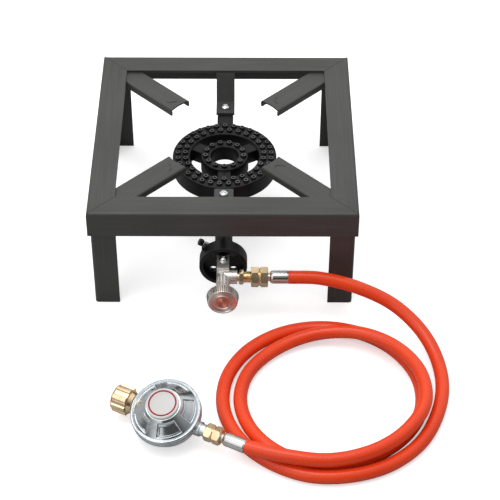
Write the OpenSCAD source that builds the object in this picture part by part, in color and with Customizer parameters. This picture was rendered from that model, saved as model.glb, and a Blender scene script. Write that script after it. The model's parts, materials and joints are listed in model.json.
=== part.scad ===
// Propane burner stand: a welded angle-iron stand for a pot, with a two-ring cast iron burner,
// a needle valve, a gas hose and a low-pressure regulator. Millimetres.
// The origin is on the floor, straight below the burner's centre. X is right, Y is back, Z is up.

/* [Stand] */
// Width of the stand, left to right
frame_w = 300; // [250:1:420]
// Depth of the stand, front to back
frame_d = 300; // [250:1:310]
// Height of the stand
frame_h = 135; // [125:1:200]
// Width of a rail's top flange
rail_flange_w = 30; // [24:1:34]
// Height of a rail's outer side
rail_drop = 32; // [20:1:40]
// Sheet thickness of the rails
rail_t = 3; // [2:0.5:3]
// Outer bend radius of the rails and legs
bend_r = 3.5; // [3.2:0.1:5]
// Width of each side of a leg
leg_w = 28; // [20:1:32]
// Sheet thickness of the legs
leg_t = 3; // [2:0.5:3]

/* [Pot supports] */
// Width of a pot support channel
support_w = 29; // [22:1:31]
// Depth of a pot support channel's sides
support_drop = 8; // [6:0.5:12]
// Sheet thickness of a pot support
support_t = 2; // [1.5:0.5:3]
// Distance from the burner's centre to a support's inner end
support_reach = 75; // [70:1:100]
// How far a support runs under the corner of the rails
support_lap = 14; // [8:1:17]
// Depth of the scallop in a support's inner end
scallop_depth = 2; // [1:0.5:4]

/* [Burner] */
// Outer radius of the outer ring
ring_r = 61; // [58:0.5:64]
// Inner radius of the outer ring
ring_in_r = 40.5; // [36:0.5:42]
// Outer radius of the inner ring
core_r = 28; // [26:0.5:32]
// Radius of the hole in the middle
core_hole_r = 16; // [12:0.5:17]
// Height of the burner's deck above the floor
deck_z = 99; // [92:1:104]
// Depth of the cast rings
ring_h = 20; // [18:1:24]
// Wall of the castings
cast_wall = 3; // [2.5:0.5:3.5]
// Width of the three spokes
spoke_w = 16; // [12:1:18]
// Height of the flame bosses
boss_h = 3; // [2:0.5:4]
// Radius of a boss at its foot
boss_r = 3.5; // [3:0.1:4]
// Diameter of a flame port
port_d = 2.5; // [1.5:0.1:3]
// Flame ports in the outer row, the middle row and the inner row
port_counts = [33, 27, 13];
// Radius of those three rows
port_rows = [55, 46.3, 22.4];

/* [Brackets] */
// Width of the burner brackets
strap_w = 22; // [20:1:30]
// Thickness of the burner brackets
strap_t = 3; // [2:0.5:4]
// Distance from the burner's centre to the rear screw
rear_screw_y = 91; // [88:0.5:95]
// Distance from the burner's centre to the front screw
front_screw_y = 74; // [72:0.5:78]
// Diameter of the bracket screws
screw_d = 6; // [5:1:6]

/* [Mixing tube and air shutter] */
// Distance from the burner's centre to the air shutter's open mouth
mouth_reach = 148; // [146:1:150]
// Height of the mixing tube's axis above the floor
tube_z = 56; // [52:1:60]
// Outer diameter of the mixing tube
tube_od = 20; // [19:0.5:21]
// Bore of the mixing tube
tube_id = 15; // [12:0.5:16]
// Radius of the tube's bend
elbow_r = 16; // [14:0.5:18]
// Outer diameter of the air shutter
shutter_od = 54; // [52:1:60]
// Depth of the air shutter's cup
shutter_depth = 15; // [14:0.5:18]
// Wall of the shutter
shutter_wall = 4; // [3:0.5:4.5]
// Outer diameter of the shutter's collar
collar_od = 26; // [25.5:0.5:30]
// Length of the shutter's collar
collar_len = 20; // [18:1:24]
// Radius of an air port
air_port_r = 4.2; // [3:0.1:4.5]

/* [Valve] */
// Diameter of the valve's barrel
barrel_d = 15; // [14:0.5:16]
// Diameter of the valve's spindle
spindle_d = 6; // [5:0.5:6]
// Diameter of the knob at its back
knob_d = 36; // [30:1:40]
// Depth of the knob
knob_h = 11.5; // [10:0.5:16]
// Flutes round the knob
knob_flutes = 48; // [24:4:48]
// Width across the flats of the hose nuts
nut_af = 20; // [17:1:21]
// Length of the hose nut at the valve
nut_len = 19.2; // [16:0.2:22]

/* [Hose] */
// Outer diameter of the hose
hose_d = 15; // [12:0.5:15]
// Outer diameter of the crimped ferrules
ferrule_d = 14.8; // [13:0.2:15.6]
// Length of the ferrule at the valve
ferrule_len = 20.6; // [16:0.2:26]

/* [Regulator] */
// Radius of the regulator's rim
reg_r = 37.5; // [36:0.5:40]
// Tilt of the regulator about its pipe, where it lies on the floor
reg_tilt = 18; // [14:1:30]
// Radius of the boss that it rests on
reg_boss_r = 12.5; // [10:0.5:14]
// Height of the bonnet above its rim
bonnet_h = 14; // [12:0.5:18]
// Pockets round the bonnet
bonnet_pockets = 5; // [4:1:6]
// Diameter of the hand nut
hand_nut_d = 30.5; // [28:0.5:32]
// Length of the hand nut
hand_nut_len = 23; // [22:0.5:26]
// Lobes round the hand nut
hand_nut_lobes = 12; // [8:1:16]

/* [Hidden] */
$fn = 64;
slip = 0.05;              // radial clearance of what slides or turns
gap = 0.3;                // clearance between faces that pass each other
top_z = frame_h - rail_t; // underside of the rails' top flanges

// Burner casting
boss_top_r = 2.8;
ring_z = deck_z - ring_h;
lug_w = 19;
lug_h = 8;
lug_top = deck_z - 1;
screw_clear = 0.4;
washer_t = 1.5;
bracket_nut_h = 0.8 * screw_d;
riser_y = -(ring_r + ring_in_r) / 2;
flange_t = 3;
shutter_in_r = shutter_od / 2 - shutter_wall;
flange_r = shutter_in_r - 0.4;
air_port_pitch = 16;
rear_wall_t = 3;
lock_angle = 150;         // of the lock screw round the tube's axis, from +X towards +Z
lock_r = 2;
lock_reach = 14;          // from the collar to the lock screw's head

// Places along Y, from the shutter's open mouth to the knob
mouth_y = -mouth_reach;
flange_y = mouth_y + shutter_depth - rear_wall_t - gap - flange_t;
rear_wall_y = flange_y + flange_t + gap;
collar_y = rear_wall_y + rear_wall_t;
collar_end_y = collar_y + collar_len;
lock_screw_y = collar_y + collar_len / 2;
clamp_y = mouth_y;
barrel_front_y = mouth_y - 9;
valve_y = barrel_front_y - 8;
barrel_end_y = valve_y - 25;
pack_nut_len = 5.5;
knob_y = barrel_end_y - pack_nut_len - 0.5;
knob_front_y = knob_y - knob_h;

// Valve and injector
tongue_z = tube_z + 5;
tongue_t = 3;
fork_w = 14;
fork_slot = 6.5;
fork_t = 3;
clamp_d = 4;
stem_bore_r = spindle_d / 2 + slip;
chamber_r = 4;
chamber_len = 9;
seat_len = 3;
seat_y = barrel_front_y - 4;
jet_way_r = 1.5;
injector_len = 15;
inlet_x = 16;
seal_r = 4.5;
seal_len = 5;
knob_taper = 1.5;         // how much smaller the knob's face is in radius than its back
knob_disc_r = 8;
knob_disc_t = 1.5;

// Hose coupling at the valve, along X
nipple_hex_len = 5.6;
nipple_thread_len = 8;
nipple_r = 6.6;
nut_x = inlet_x + 1.6 + nipple_hex_len + nipple_thread_len;
neck_x = nut_x + nut_len;
neck_len = 2;
neck_r = 4.5;
ferrule_x = neck_x + neck_len;
hose_x = ferrule_x + ferrule_len;
tail_bore_r = 2.5;
seat_depth = 7;           // how far a threaded nipple reaches into its nut
nut_lip = 3;              // length of a nut's lip behind the tail's shoulder

// Regulator, along its own pipe axis, which lies as high as the hose's end
hose_rest_z = 22.5;
reg_flange_r = reg_r - 1.2;
reg_boss_depth = (hose_rest_z - reg_boss_r * sin(reg_tilt)) / cos(reg_tilt);
reg_cup_r = 33;
inlet_boss_r = 9.5;
outlet_boss_r = 8;
reg_floor_z = -9;
reg_seat_z = 10;
diaphragm_t = 1;
diaphragm_z = reg_seat_z + diaphragm_t;
rim_z = diaphragm_z + 3;
crown_z = rim_z + bonnet_h;
outlet_x = 46;
reg_nut_len = 18;
reg_nut_af = 17;
reg_neck_len = 3;
reg_ferrule_len = 25;
hose_reach = outlet_x + reg_nut_len + reg_neck_len + reg_ferrule_len;
reg_heading = 27;         // of the pipe, to the hose, from +X towards -Y
hose_in = [cos(reg_heading), -sin(reg_heading), 0];
bonnet_top_r = 18.5;
bonnet_t = 3.2;
cap_r = 17.5;
stem_r = 6;
nut_back_x = -39.5;
nut_front_x = nut_back_x - hand_nut_len;
thread_r = 10;
thread_len = 9.5;
lobe_r = 2.2;
flange_x = nut_front_x + thread_len + 2; // face of the inlet stem's flange
shoulder_x = flange_x + 2.5;             // shoulder inside the hand nut
inlet_jet_x = -22;
lever_pivot_x = -15;
lever_pivot_z = 4.4;
lever_t = 2.4;
lever_arm_t = 2.8;
pad_r = 1.9;

// The hose's route over the floor, after the valve's ferrule: two and a half turns
hose_rest = [
    [110, -166, 55], [152, -174, 48], [192, -189, 35], [223, -219, 20], [238, -262, 9.5],
    [235, -310, 7.5], [214, -361, 7.5], [180, -395, 7.5], [138, -412, 7.5], [92, -413, 7.5],
    [50, -394, 7.5], [18, -361, 7.5], [2, -318, 7.5], [6, -272, 7.5], [29, -232, 7.5],
    [66, -205, 7.5], [111, -196, 7.5], [156, -206, 7.5], [192, -234, 7.5], [213, -275, 7.5],
    [213, -321, 7.5], [191, -361, 7.5], [154, -389, 7.5], [109, -398, 7.5], [65, -385, 7.5],
    [33, -352, 7.5], [20, -308, 7.5], [30, -264, 7.5], [61, -230, 9], [103, -213, 14],
    [149, -217, 20.5], [188, -241, 24], [213, -279, 24.5], [216, -325, 24.5], [194, -365, 24],
    [158, -393, 23.5], [113, -405, 22.5], [68, -401, 24], [26, -387, hose_rest_z]
];
hose_route = concat([[hose_x, valve_y, tube_z]], hose_rest);
hose_end = hose_rest[len(hose_rest) - 1];
hose_sides = 10;
reg_at = hose_end - hose_reach * hose_in;

// ---- Helpers ----

// A cylinder along Y from y0 to y1, centred on x = 0
module along_y(y0, y1, r, z = 0) {
    translate([0, y0, z]) rotate([-90, 0, 0]) cylinder(h = y1 - y0, r = r);
}

// A cylinder along X from x0 to x1
module along_x(x0, x1, r, r2 = -1) {
    translate([x0, 0, 0]) rotate([0, 90, 0]) cylinder(h = x1 - x0, r1 = r, r2 = r2 < 0 ? r : r2);
}

// A hexagon along X, by its width across the flats
module hex_x(x0, x1, af) {
    translate([x0, 0, 0]) rotate([0, 90, 0]) cylinder(h = x1 - x0, r = af / sqrt(3), $fn = 6);
}

// A 2D shape in Y and Z, extruded along X about x = 0
module across_x(w) {
    rotate([90, 0, 90]) linear_extrude(height = w, center = true) children();
}

// Section of bent sheet: one side up the Y axis, one along the X axis, bent at the origin
module angle_section(w, h, t, r) {
    translate([r, 0]) square([w - r, t]);
    translate([0, r]) square([t, h - r]);
    translate([r, r]) intersection() {
        difference() {
            circle(r);
            circle(r - t);
        }
        translate([-r, -r]) square(r);
    }
}

function unit(v) = v / norm(v);
function left(v) = [-v.y, v.x];
function side_dir(p, i) = unit(p[i + 1] - p[i]);
function mitre(p, i) =
    let (a = left(side_dir(p, max(i - 1, 0))), b = left(side_dir(p, min(i, len(p) - 2))),
         n = unit(a + b))
    n / (n * a);
// Outline of a bent strip of thickness t, on the left of a path
function strip(p, t) = concat(p, [for (i = [len(p) - 1:-1:0]) p[i] + t * mitre(p, i)]);

// Smooth curve through points, n steps between each two
function spline_at(a, b, c, d, t) =
    (2 * b + (c - a) * t + (2 * a - 5 * b + 4 * c - d) * t * t + (3 * b - a - 3 * c + d) * t * t * t) / 2;
function smooth(p, n) =
    let (last = len(p) - 1, q = concat([2 * p[0] - p[1]], p, [2 * p[last] - p[last - 1]]))
    concat([for (i = [0:last - 1], k = [0:n - 1]) spline_at(q[i], q[i + 1], q[i + 2], q[i + 3], k / n)],
           [p[last]]);
function on_floor(p, r) = [for (v = p) [v.x, v.y, max(v.z, r)]];

// A tube swept along points, square to first and last at its ends
module swept(p, r, sides, first, last) {
    n = len(p);
    along = [for (i = [0:n - 1]) i == 0 ? first : i == n - 1 ? last : unit(p[i + 1] - p[i - 1])];
    rings = [for (i = [0:n - 1])
        let (s = unit(cross(along[i], [0, 0, 1])), u = cross(s, along[i]))
        for (k = [0:sides - 1]) p[i] + r * (cos(360 * k / sides) * s + sin(360 * k / sides) * u)];
    walls = [for (i = [0:n - 2], k = [0:sides - 1])
        let (a = i * sides + k, b = i * sides + (k + 1) % sides) [a, a + sides, b + sides, b]];
    polyhedron(rings, concat(walls, [[for (k = [0:sides - 1]) k]],
        [[for (k = [sides - 1:-1:0]) (n - 1) * sides + k]]), convexity = 10);
}

// A coil spring along Z, from z = 0, with flat-lying ends
module coil(r, wire_r, height, turns) {
    steps = 12;
    n = ceil(turns * steps);
    p = [for (i = [0:n]) let (a = 360 * i / steps)
        [r * cos(a), r * sin(a), wire_r + (height - 2 * wire_r) * i / n]];
    swept(p, wire_r, 6, [0, 1, 0], unit(p[n] - p[n - 1]));
}

// ---- Stand ----

// A rail with mitred ends, its outer face on y = 0, top on z = 0, running along X
module rail(length) {
    intersection() {
        across_x(length) rotate(-90)
            angle_section(rail_drop, rail_flange_w, rail_t, bend_r);
        translate([0, 0, -rail_drop]) linear_extrude(height = rail_drop)
            polygon([[-length / 2, 0], [length / 2, 0],
                     [length / 2 - rail_flange_w, rail_flange_w],
                     [-length / 2 + rail_flange_w, rail_flange_w]]);
    }
}

module rail_at(angle, length, reach) {
    color("#585856") rotate(angle) translate([0, -reach, frame_h]) rail(length);
}
module rail_front() rail_at(0, frame_w, frame_d / 2);
module rail_rear() rail_at(180, frame_w, frame_d / 2);
module rail_left() rail_at(-90, frame_d, frame_w / 2);
module rail_right() rail_at(90, frame_d, frame_w / 2);

// A leg inside a corner; turn 0 is the front left
module leg(sx, sy, turn) {
    color("#3f3f3d")
        translate([sx * (frame_w / 2 - rail_t), sy * (frame_d / 2 - rail_t), 0]) rotate(turn)
            linear_extrude(height = frame_h - bend_r) angle_section(leg_w, leg_w, leg_t, bend_r);
}
module leg_front_left() leg(-1, -1, 0);
module leg_front_right() leg(1, -1, 90);
module leg_rear_right() leg(1, 1, 180);
module leg_rear_left() leg(-1, 1, 270);

// Section of a channel that opens downwards, its web's top on y = 0
module channel_section() {
    for (side = [0, 1]) mirror([side, 0]) translate([support_w / 2, 0]) rotate(180)
        angle_section(support_w / 2, support_drop, support_t, support_t + 0.5);
}

// A pot support under the corner of the rails, with a scalloped end and a pressed rib
module pot_support(sx, sy) {
    inner_corner = [frame_w / 2 - rail_flange_w, frame_d / 2 - rail_flange_w];
    angle = atan2(inner_corner.y, inner_corner.x);
    leg_face = rail_t + leg_t + gap;
    length = min(norm(inner_corner) + support_lap,
                 (frame_w / 2 - leg_face - support_w / 2 * sin(angle)) / cos(angle),
                 (frame_d / 2 - leg_face - support_w / 2 * cos(angle)) / sin(angle)) - support_reach;
    scallop_r = (pow(support_w / 2, 2) + pow(scallop_depth, 2)) / (2 * scallop_depth);
    rib_r = 9;
    color("#585856") rotate(atan2(sy * inner_corner.y, sx * inner_corner.x))
        translate([support_reach, 0, top_z]) {
            difference() {
                rotate([90, 0, 90]) linear_extrude(height = length) channel_section();
                translate([scallop_depth - scallop_r, 0, -support_t - 1])
                    cylinder(h = support_t + 2, r = scallop_r, $fn = 128);
            }
            translate([19, -3, 0]) rotate(100)
                rotate_extrude(angle = 80) translate([rib_r, 0]) circle(0.8);
        }
}
module pot_support_front_left() pot_support(-1, -1);
module pot_support_front_right() pot_support(1, -1);
module pot_support_rear_right() pot_support(1, 1);
module pot_support_rear_left() pot_support(-1, 1);

// ---- Burner brackets and their fasteners ----

// A Z-shaped strap, welded under a rail's flange, that carries one of the burner's lugs
module strap(end_y, screw_y, bend_y, rise_y) {
    weld_y = frame_d / 2 - rail_t - 3;
    color("#4a4a48") difference() {
        across_x(strap_w) polygon(strip([
            [end_y, lug_top], [bend_y, lug_top], [rise_y, top_z - strap_t], [weld_y, top_z - strap_t]
        ], strap_t));
        translate([0, screw_y, lug_top - 1]) cylinder(h = strap_t + 2, d = screw_d + screw_clear);
    }
}
module burner_bracket_front()
    mirror([0, 1, 0]) strap(front_screw_y - 9, front_screw_y, front_screw_y + 16,
                            frame_d / 2 - rail_flange_w + 5);
module burner_bracket_rear()
    strap(rear_screw_y - 11.5, rear_screw_y, rear_screw_y + 13, frame_d / 2 - rail_flange_w);

module at_screws() {
    for (y = [rear_screw_y, -front_screw_y]) translate([0, y, 0]) children();
}

// Cross-recess pan head screw, head up, its seat on z = 0
module pan_screw(d, length) {
    head_d = 1.75 * d;
    head_h = 0.6 * d;
    difference() {
        union() {
            cylinder(h = head_h * 0.5, d = head_d);
            translate([0, 0, head_h * 0.5]) cylinder(h = head_h * 0.5, d1 = head_d, d2 = head_d * 0.7);
            translate([0, 0, -length]) cylinder(h = length, d = d);
        }
        for (a = [45, 135]) rotate(a)
            translate([-head_d * 0.27, -d * 0.08, head_h * 0.55]) cube([head_d * 0.54, d * 0.16, head_h]);
    }
}
module bracket_screws() {
    grip = strap_t + lug_h + washer_t + bracket_nut_h + 2;
    color("#d8d8da") at_screws() translate([0, 0, lug_top + strap_t]) pan_screw(screw_d, grip);
}
module bracket_washers() {
    color("#c8c8ca") at_screws() translate([0, 0, lug_top - lug_h - washer_t]) difference() {
        cylinder(h = washer_t, d = 2 * screw_d);
        translate([0, 0, -1]) cylinder(h = washer_t + 2, d = screw_d + screw_clear);
    }
}
module bracket_nuts() {
    color("#c8c8ca") at_screws()
        translate([0, 0, lug_top - lug_h - washer_t - bracket_nut_h]) difference() {
            cylinder(h = bracket_nut_h, r = 1.67 * screw_d / sqrt(3), $fn = 6);
            translate([0, 0, -1]) cylinder(h = bracket_nut_h + 2, r = screw_d / 2 + slip);
        }
}

// ---- Burner casting ----

// Places a row of flame ports; the outer row starts at the back, the others at the front
module port_row(i) {
    start = i == 0 ? 90 : 270;
    for (k = [0:port_counts[i] - 1]) rotate(start + 360 * k / port_counts[i])
        translate([port_rows[i], 0, 0]) children();
}

module lug(y0, y1) {
    translate([-lug_w / 2, y0, lug_top - lug_h]) cube([lug_w, y1 - y0, lug_h]);
}

// The quarter bend between the level tube and the riser, of the given section radius
module elbow(r) {
    translate([0, riser_y - elbow_r, tube_z + elbow_r]) rotate([90, 0, 90]) rotate(-90)
        rotate_extrude(angle = 90) translate([elbow_r, 0]) circle(r);
}

// The gas way from the mouth to the ring, of the given radius
module gas_way(r, from_y, to_z) {
    along_y(from_y, riser_y - elbow_r, r, tube_z);
    elbow(r);
    translate([0, riser_y, tube_z + elbow_r]) cylinder(h = to_z - tube_z - elbow_r, r = r);
}

module ring_solid(r_in, r_out, z0, z1) {
    rotate_extrude() translate([r_in, z0]) square([r_out - r_in, z1 - z0]);
}

module burner_casting() {
    duct_w = spoke_w - 2 * cast_wall;
    color("#2b2b2c") difference() {
        union() {
            ring_solid(ring_in_r, ring_r, ring_z, deck_z);
            ring_solid(core_hole_r, core_r, ring_z, deck_z);
            for (a = [30, 150, 270]) rotate(a) translate([core_r - 2, -spoke_w / 2, ring_z + 1])
                cube([ring_in_r - core_r + 4, spoke_w, ring_h - 3]);
            for (i = [0:2]) port_row(i) translate([0, 0, deck_z - 1]) {
                cylinder(h = 1, r = boss_r, $fn = 24);
                translate([0, 0, 1]) cylinder(h = boss_h, r1 = boss_r, r2 = boss_top_r, $fn = 24);
            }
            lug(ring_r - 2, rear_screw_y + 12);
            lug(-front_screw_y - 9, -ring_r + 2);
            gas_way(tube_od / 2, flange_y, ring_z + 1);
        }
        ring_solid(ring_in_r + cast_wall, ring_r - cast_wall, ring_z + cast_wall, deck_z - cast_wall);
        ring_solid(core_hole_r + cast_wall, core_r - cast_wall, ring_z + cast_wall, deck_z - cast_wall);
        rotate(270) translate([core_r - 5, -duct_w / 2, ring_z + cast_wall + 1])
            cube([ring_in_r - core_r + 10, duct_w, ring_h - 2 * cast_wall - 3]);
        gas_way(tube_id / 2, flange_y - 1, ring_z + cast_wall + 1);
        for (i = [0:2]) port_row(i) translate([0, 0, deck_z - cast_wall - 1])
            cylinder(h = cast_wall + boss_h + 2, d = port_d, $fn = 16);
        at_screws() translate([0, 0, lug_top - lug_h - 1]) cylinder(h = lug_h + 2, d = screw_d + screw_clear);
    }
}

// One air port's hole, at an angle round the tube's axis
module air_port_at(a, y, depth) {
    translate([air_port_pitch * cos(a), y, tube_z + air_port_pitch * sin(a)])
        rotate([-90, 0, 0]) cylinder(h = depth, r = air_port_r);
}

// ---- Air plate and air shutter ----

// Pressed on the tube's mouth once the shutter is on; its tongue carries the valve
module air_plate() {
    tongue_w = 12;
    color("#2e2e2f") difference() {
        union() {
            along_y(flange_y, flange_y + flange_t, flange_r, tube_z);
            translate([-tongue_w / 2, clamp_y - 5, tongue_z])
                cube([tongue_w, flange_y + 1 - clamp_y + 5, tongue_t]);
        }
        along_y(flange_y - 15, flange_y, tube_id / 2, tube_z);
        along_y(flange_y - 1, flange_y + flange_t + 1, tube_od / 2, tube_z);
        for (a = [45:90:315]) air_port_at(a, flange_y - 1, flange_t + 2);
        translate([0, clamp_y, tongue_z - 1]) cylinder(h = tongue_t + 2, r = clamp_d / 2 + slip);
    }
}

// A frame at the lock screw: local Z runs out along the screw from the tube's axis
module at_lock() {
    translate([0, lock_screw_y, tube_z]) rotate([0, 90 - lock_angle, 0]) children();
}

module air_shutter() {
    color("#262627") difference() {
        union() {
            along_y(mouth_y, collar_y, shutter_od / 2, tube_z);
            along_y(collar_y - 1, collar_end_y, collar_od / 2, tube_z);
            at_lock() cylinder(h = collar_od / 2 + 3, r = 5);
            translate([0, 0, tube_z]) rotate([0, -138, 0])
                translate([shutter_od / 2 - 2, collar_y - 6, -3]) cube([5, 6, 6]);
        }
        along_y(mouth_y - 1, rear_wall_y, shutter_in_r, tube_z);
        along_y(rear_wall_y - 1, collar_end_y + 1, tube_od / 2 + slip, tube_z);
        for (a = [45:90:315]) air_port_at(a, rear_wall_y - 1, rear_wall_t + 2);
        at_lock() cylinder(h = collar_od / 2 + 4, r = lock_r + slip);
    }
}

// A thumb screw with a dark head, its tip on the tube
module shutter_lock_screw() {
    shank_end = collar_od / 2 + lock_reach;
    color("#333333") at_lock() {
        translate([0, 0, tube_od / 2 + slip]) cylinder(h = shank_end - tube_od / 2, r = lock_r);
        translate([0, 0, shank_end]) cylinder(h = 5, r = 4.2, $fn = 24);
    }
}
module shutter_spring() {
    from = collar_od / 2 + 3 + slip;
    color("#d0d0d2") at_lock() translate([0, 0, from])
        coil(lock_r + 0.9, 0.5, collar_od / 2 + lock_reach - slip - from, 5);
}

// ---- Valve ----

module injector() {
    color("#c9a24b") difference() {
        union() {
            along_y(barrel_front_y, barrel_front_y + 3, 4.6, tube_z);
            along_y(barrel_front_y + 3, barrel_front_y + injector_len, 3.4, tube_z);
        }
        along_y(barrel_front_y - 1, barrel_front_y + injector_len - 3, jet_way_r, tube_z);
        along_y(barrel_front_y + injector_len - 4, barrel_front_y + injector_len + 1, 0.5, tube_z);
    }
}

module valve_body() {
    plate_z = tongue_z + tongue_t;
    block_len = 6;
    tip_y = flange_y - 0.5;
    color("#c4c2bd") difference() {
        union() {
            along_y(barrel_end_y, barrel_front_y, barrel_d / 2, tube_z);
            translate([-fork_w / 2, barrel_front_y - block_len, tube_z - 6])
                cube([fork_w, block_len, plate_z + fork_t - tube_z + 6]);
            translate([-fork_w / 2, barrel_front_y - 1, plate_z])
                cube([fork_w, tip_y - barrel_front_y + 1, fork_t]);
            translate([0, valve_y, tube_z]) along_x(0, inlet_x, 8);
        }
        translate([-fork_slot / 2, clamp_y - fork_slot / 2, plate_z - 1])
            cube([fork_slot, tip_y - clamp_y + fork_slot, fork_t + 2]);
        along_y(seat_y, barrel_front_y + 1, jet_way_r, tube_z);
        translate([0, seat_y, tube_z]) rotate([-90, 0, 0])
            cylinder(h = seat_len, r1 = stem_bore_r, r2 = jet_way_r);
        along_y(seat_y - chamber_len, seat_y, chamber_r, tube_z);
        along_y(barrel_end_y - 1, seat_y, stem_bore_r, tube_z);
        along_y(barrel_end_y - 1, barrel_end_y + seal_len, seal_r, tube_z);
        translate([0, valve_y, tube_z]) along_x(0, inlet_x + 1, 2.5);
    }
}

module fork_clamp_screw() {
    color("#dcdcdc") translate([0, clamp_y, tongue_z + tongue_t + fork_t]) {
        difference() {
            union() {
                cylinder(h = 0.8, d = 10);
                translate([0, 0, 0.8]) cylinder(h = 2.6, d1 = 8, d2 = 7);
                translate([0, 0, -fork_t - tongue_t]) cylinder(h = fork_t + tongue_t, d = clamp_d);
            }
            for (a = [45, 135]) rotate(a) translate([-2.2, -0.4, 2.2]) cube([4.4, 0.8, 2]);
        }
    }
}

// The valve is shut: the spindle's cone fills the seat
module valve_spindle() {
    color("#b9975b") {
        along_y(knob_y - 8, seat_y, spindle_d / 2, tube_z);
        translate([0, seat_y, tube_z]) rotate([-90, 0, 0])
            cylinder(h = seat_len, r1 = spindle_d / 2, r2 = jet_way_r - slip);
    }
}
module spindle_seal() {
    color("#1c1c1c") difference() {
        along_y(barrel_end_y + 1, barrel_end_y + seal_len - slip, seal_r - slip, tube_z);
        along_y(barrel_end_y, barrel_end_y + seal_len + 1, stem_bore_r, tube_z);
    }
}
module packing_nut() {
    color("#b8b6b0") difference() {
        translate([0, barrel_end_y - pack_nut_len, tube_z]) rotate([-90, 0, 0])
            cylinder(h = pack_nut_len, r = 13 / sqrt(3), $fn = 6);
        along_y(barrel_end_y - pack_nut_len - 1, barrel_end_y + 1, stem_bore_r, tube_z);
    }
}

module valve_knob() {
    front_r = knob_d / 2 - knob_taper;
    flute_r = 1;
    color("#c9c4be") difference() {
        translate([0, knob_y, tube_z]) rotate([90, 0, 0])
            cylinder(h = knob_h, r1 = knob_d / 2, r2 = front_r);
        along_y(knob_front_y - 1, knob_front_y + knob_disc_t, knob_disc_r + slip, tube_z);
        along_y(knob_front_y, knob_y + 1, stem_bore_r, tube_z);
        difference() {
            along_y(knob_front_y - 1, knob_front_y + 1, front_r - 2, tube_z);
            along_y(knob_front_y - 2, knob_front_y + 2, front_r - 4, tube_z);
        }
        for (k = [0:knob_flutes - 1]) translate([0, knob_y, tube_z])
            rotate([0, 360 * k / knob_flutes, 0]) translate([knob_d / 2, 0, 0])
                rotate([90, 0, -atan2(knob_taper, knob_h)]) translate([0, 0, -1])
                    cylinder(h = knob_h + 2, r = flute_r, $fn = 16);
    }
}
module knob_cap() {
    color("#b5654f") along_y(knob_front_y, knob_front_y + knob_disc_t - slip, knob_disc_r, tube_z);
}

// ---- Hose coupling at the valve ----

module at_inlet() {
    translate([0, valve_y, tube_z]) children();
}

// A hexagon nut along X with a groove round its middle; its lip at x1 holds a hose tail
module grooved_nut(x0, x1, af) {
    mid = (x0 + x1) / 2;
    corner_r = af / sqrt(3);
    chamfer = 1.2;
    difference() {
        intersection() {
            hex_x(x0, x1, af);
            union() {
                along_x(x0, x0 + chamfer, corner_r - 1, corner_r);
                along_x(x0 + chamfer, x1 - chamfer, corner_r);
                along_x(x1 - chamfer, x1, corner_r, corner_r - 1);
            }
        }
        translate([mid, 0, 0]) rotate([0, 90, 0]) rotate_extrude()
            polygon([[af / 2 - 0.8, 0], [corner_r + 1, -1.8], [corner_r + 1, 1.8]]);
        along_x(x0 - 1, x1 - nut_lip, nipple_r + slip);
        along_x(x0 - 1, x1 + 1, neck_r + slip);
    }
}

module inlet_nipple() {
    hex_end = inlet_x + 1.6 + nipple_hex_len;
    color("#c9a24b") at_inlet() difference() {
        union() {
            along_x(inlet_x, inlet_x + 1.6, 5);
            hex_x(inlet_x + 1.6, hex_end, 15);
            along_x(hex_end, nut_x + seat_depth, nipple_r);
        }
        along_x(inlet_x - 1, nut_x + seat_depth + 1, tail_bore_r);
    }
}
module union_nut_valve() {
    color("#c4a15c") at_inlet() grooved_nut(nut_x, neck_x, nut_af);
}

// Seat, neck and barb of a hose end, along X, from the seat's mouth to the ferrule's end
module hose_tail(seat_x, shoulder_x, end_x) {
    difference() {
        union() {
            along_x(seat_x, shoulder_x, nipple_r - 0.4);
            along_x(shoulder_x, end_x, neck_r);
        }
        along_x(seat_x - 1, end_x + 1, tail_bore_r);
    }
}
module hose_tail_valve() {
    color("#c0bfba") at_inlet() hose_tail(nut_x + seat_depth, neck_x - nut_lip - slip, hose_x);
}

// A crimped ferrule along X round a tail of radius neck_r
module ferrule(x0, x1) {
    r = ferrule_d / 2;
    difference() {
        union() {
            along_x(x0, x0 + 2.5, r - 1.8, r);
            along_x(x0 + 2.5, x1, r);
        }
        along_x(x0 - 1, x1 + 1, neck_r + slip);
    }
}
module hose_ferrule_valve() {
    color("#cfcfd2") at_inlet() ferrule(ferrule_x, hose_x);
}

module gas_hose() {
    color("#ee4a26") swept(on_floor(smooth(hose_route, 2), hose_d / 2), hose_d / 2, hose_sides,
                           [1, 0, 0], -hose_in);
}

// ---- Regulator ----

// The regulator's frame: local X out along the pipe to the hose, local Z out of its face
module at_reg() {
    translate(reg_at) rotate(-reg_heading) rotate([reg_tilt, 0, 0]) children();
}

module hose_ferrule_regulator() {
    color("#cfcfd2") at_reg() ferrule(hose_reach - reg_ferrule_len, hose_reach);
}
module hose_tail_regulator() {
    color("#c0bfba") at_reg() hose_tail(outlet_x + seat_depth, outlet_x + reg_nut_len - nut_lip - slip, hose_reach);
}
module union_nut_regulator() {
    color("#c4a15c") at_reg() grooved_nut(outlet_x, outlet_x + reg_nut_len, reg_nut_af);
}

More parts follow.
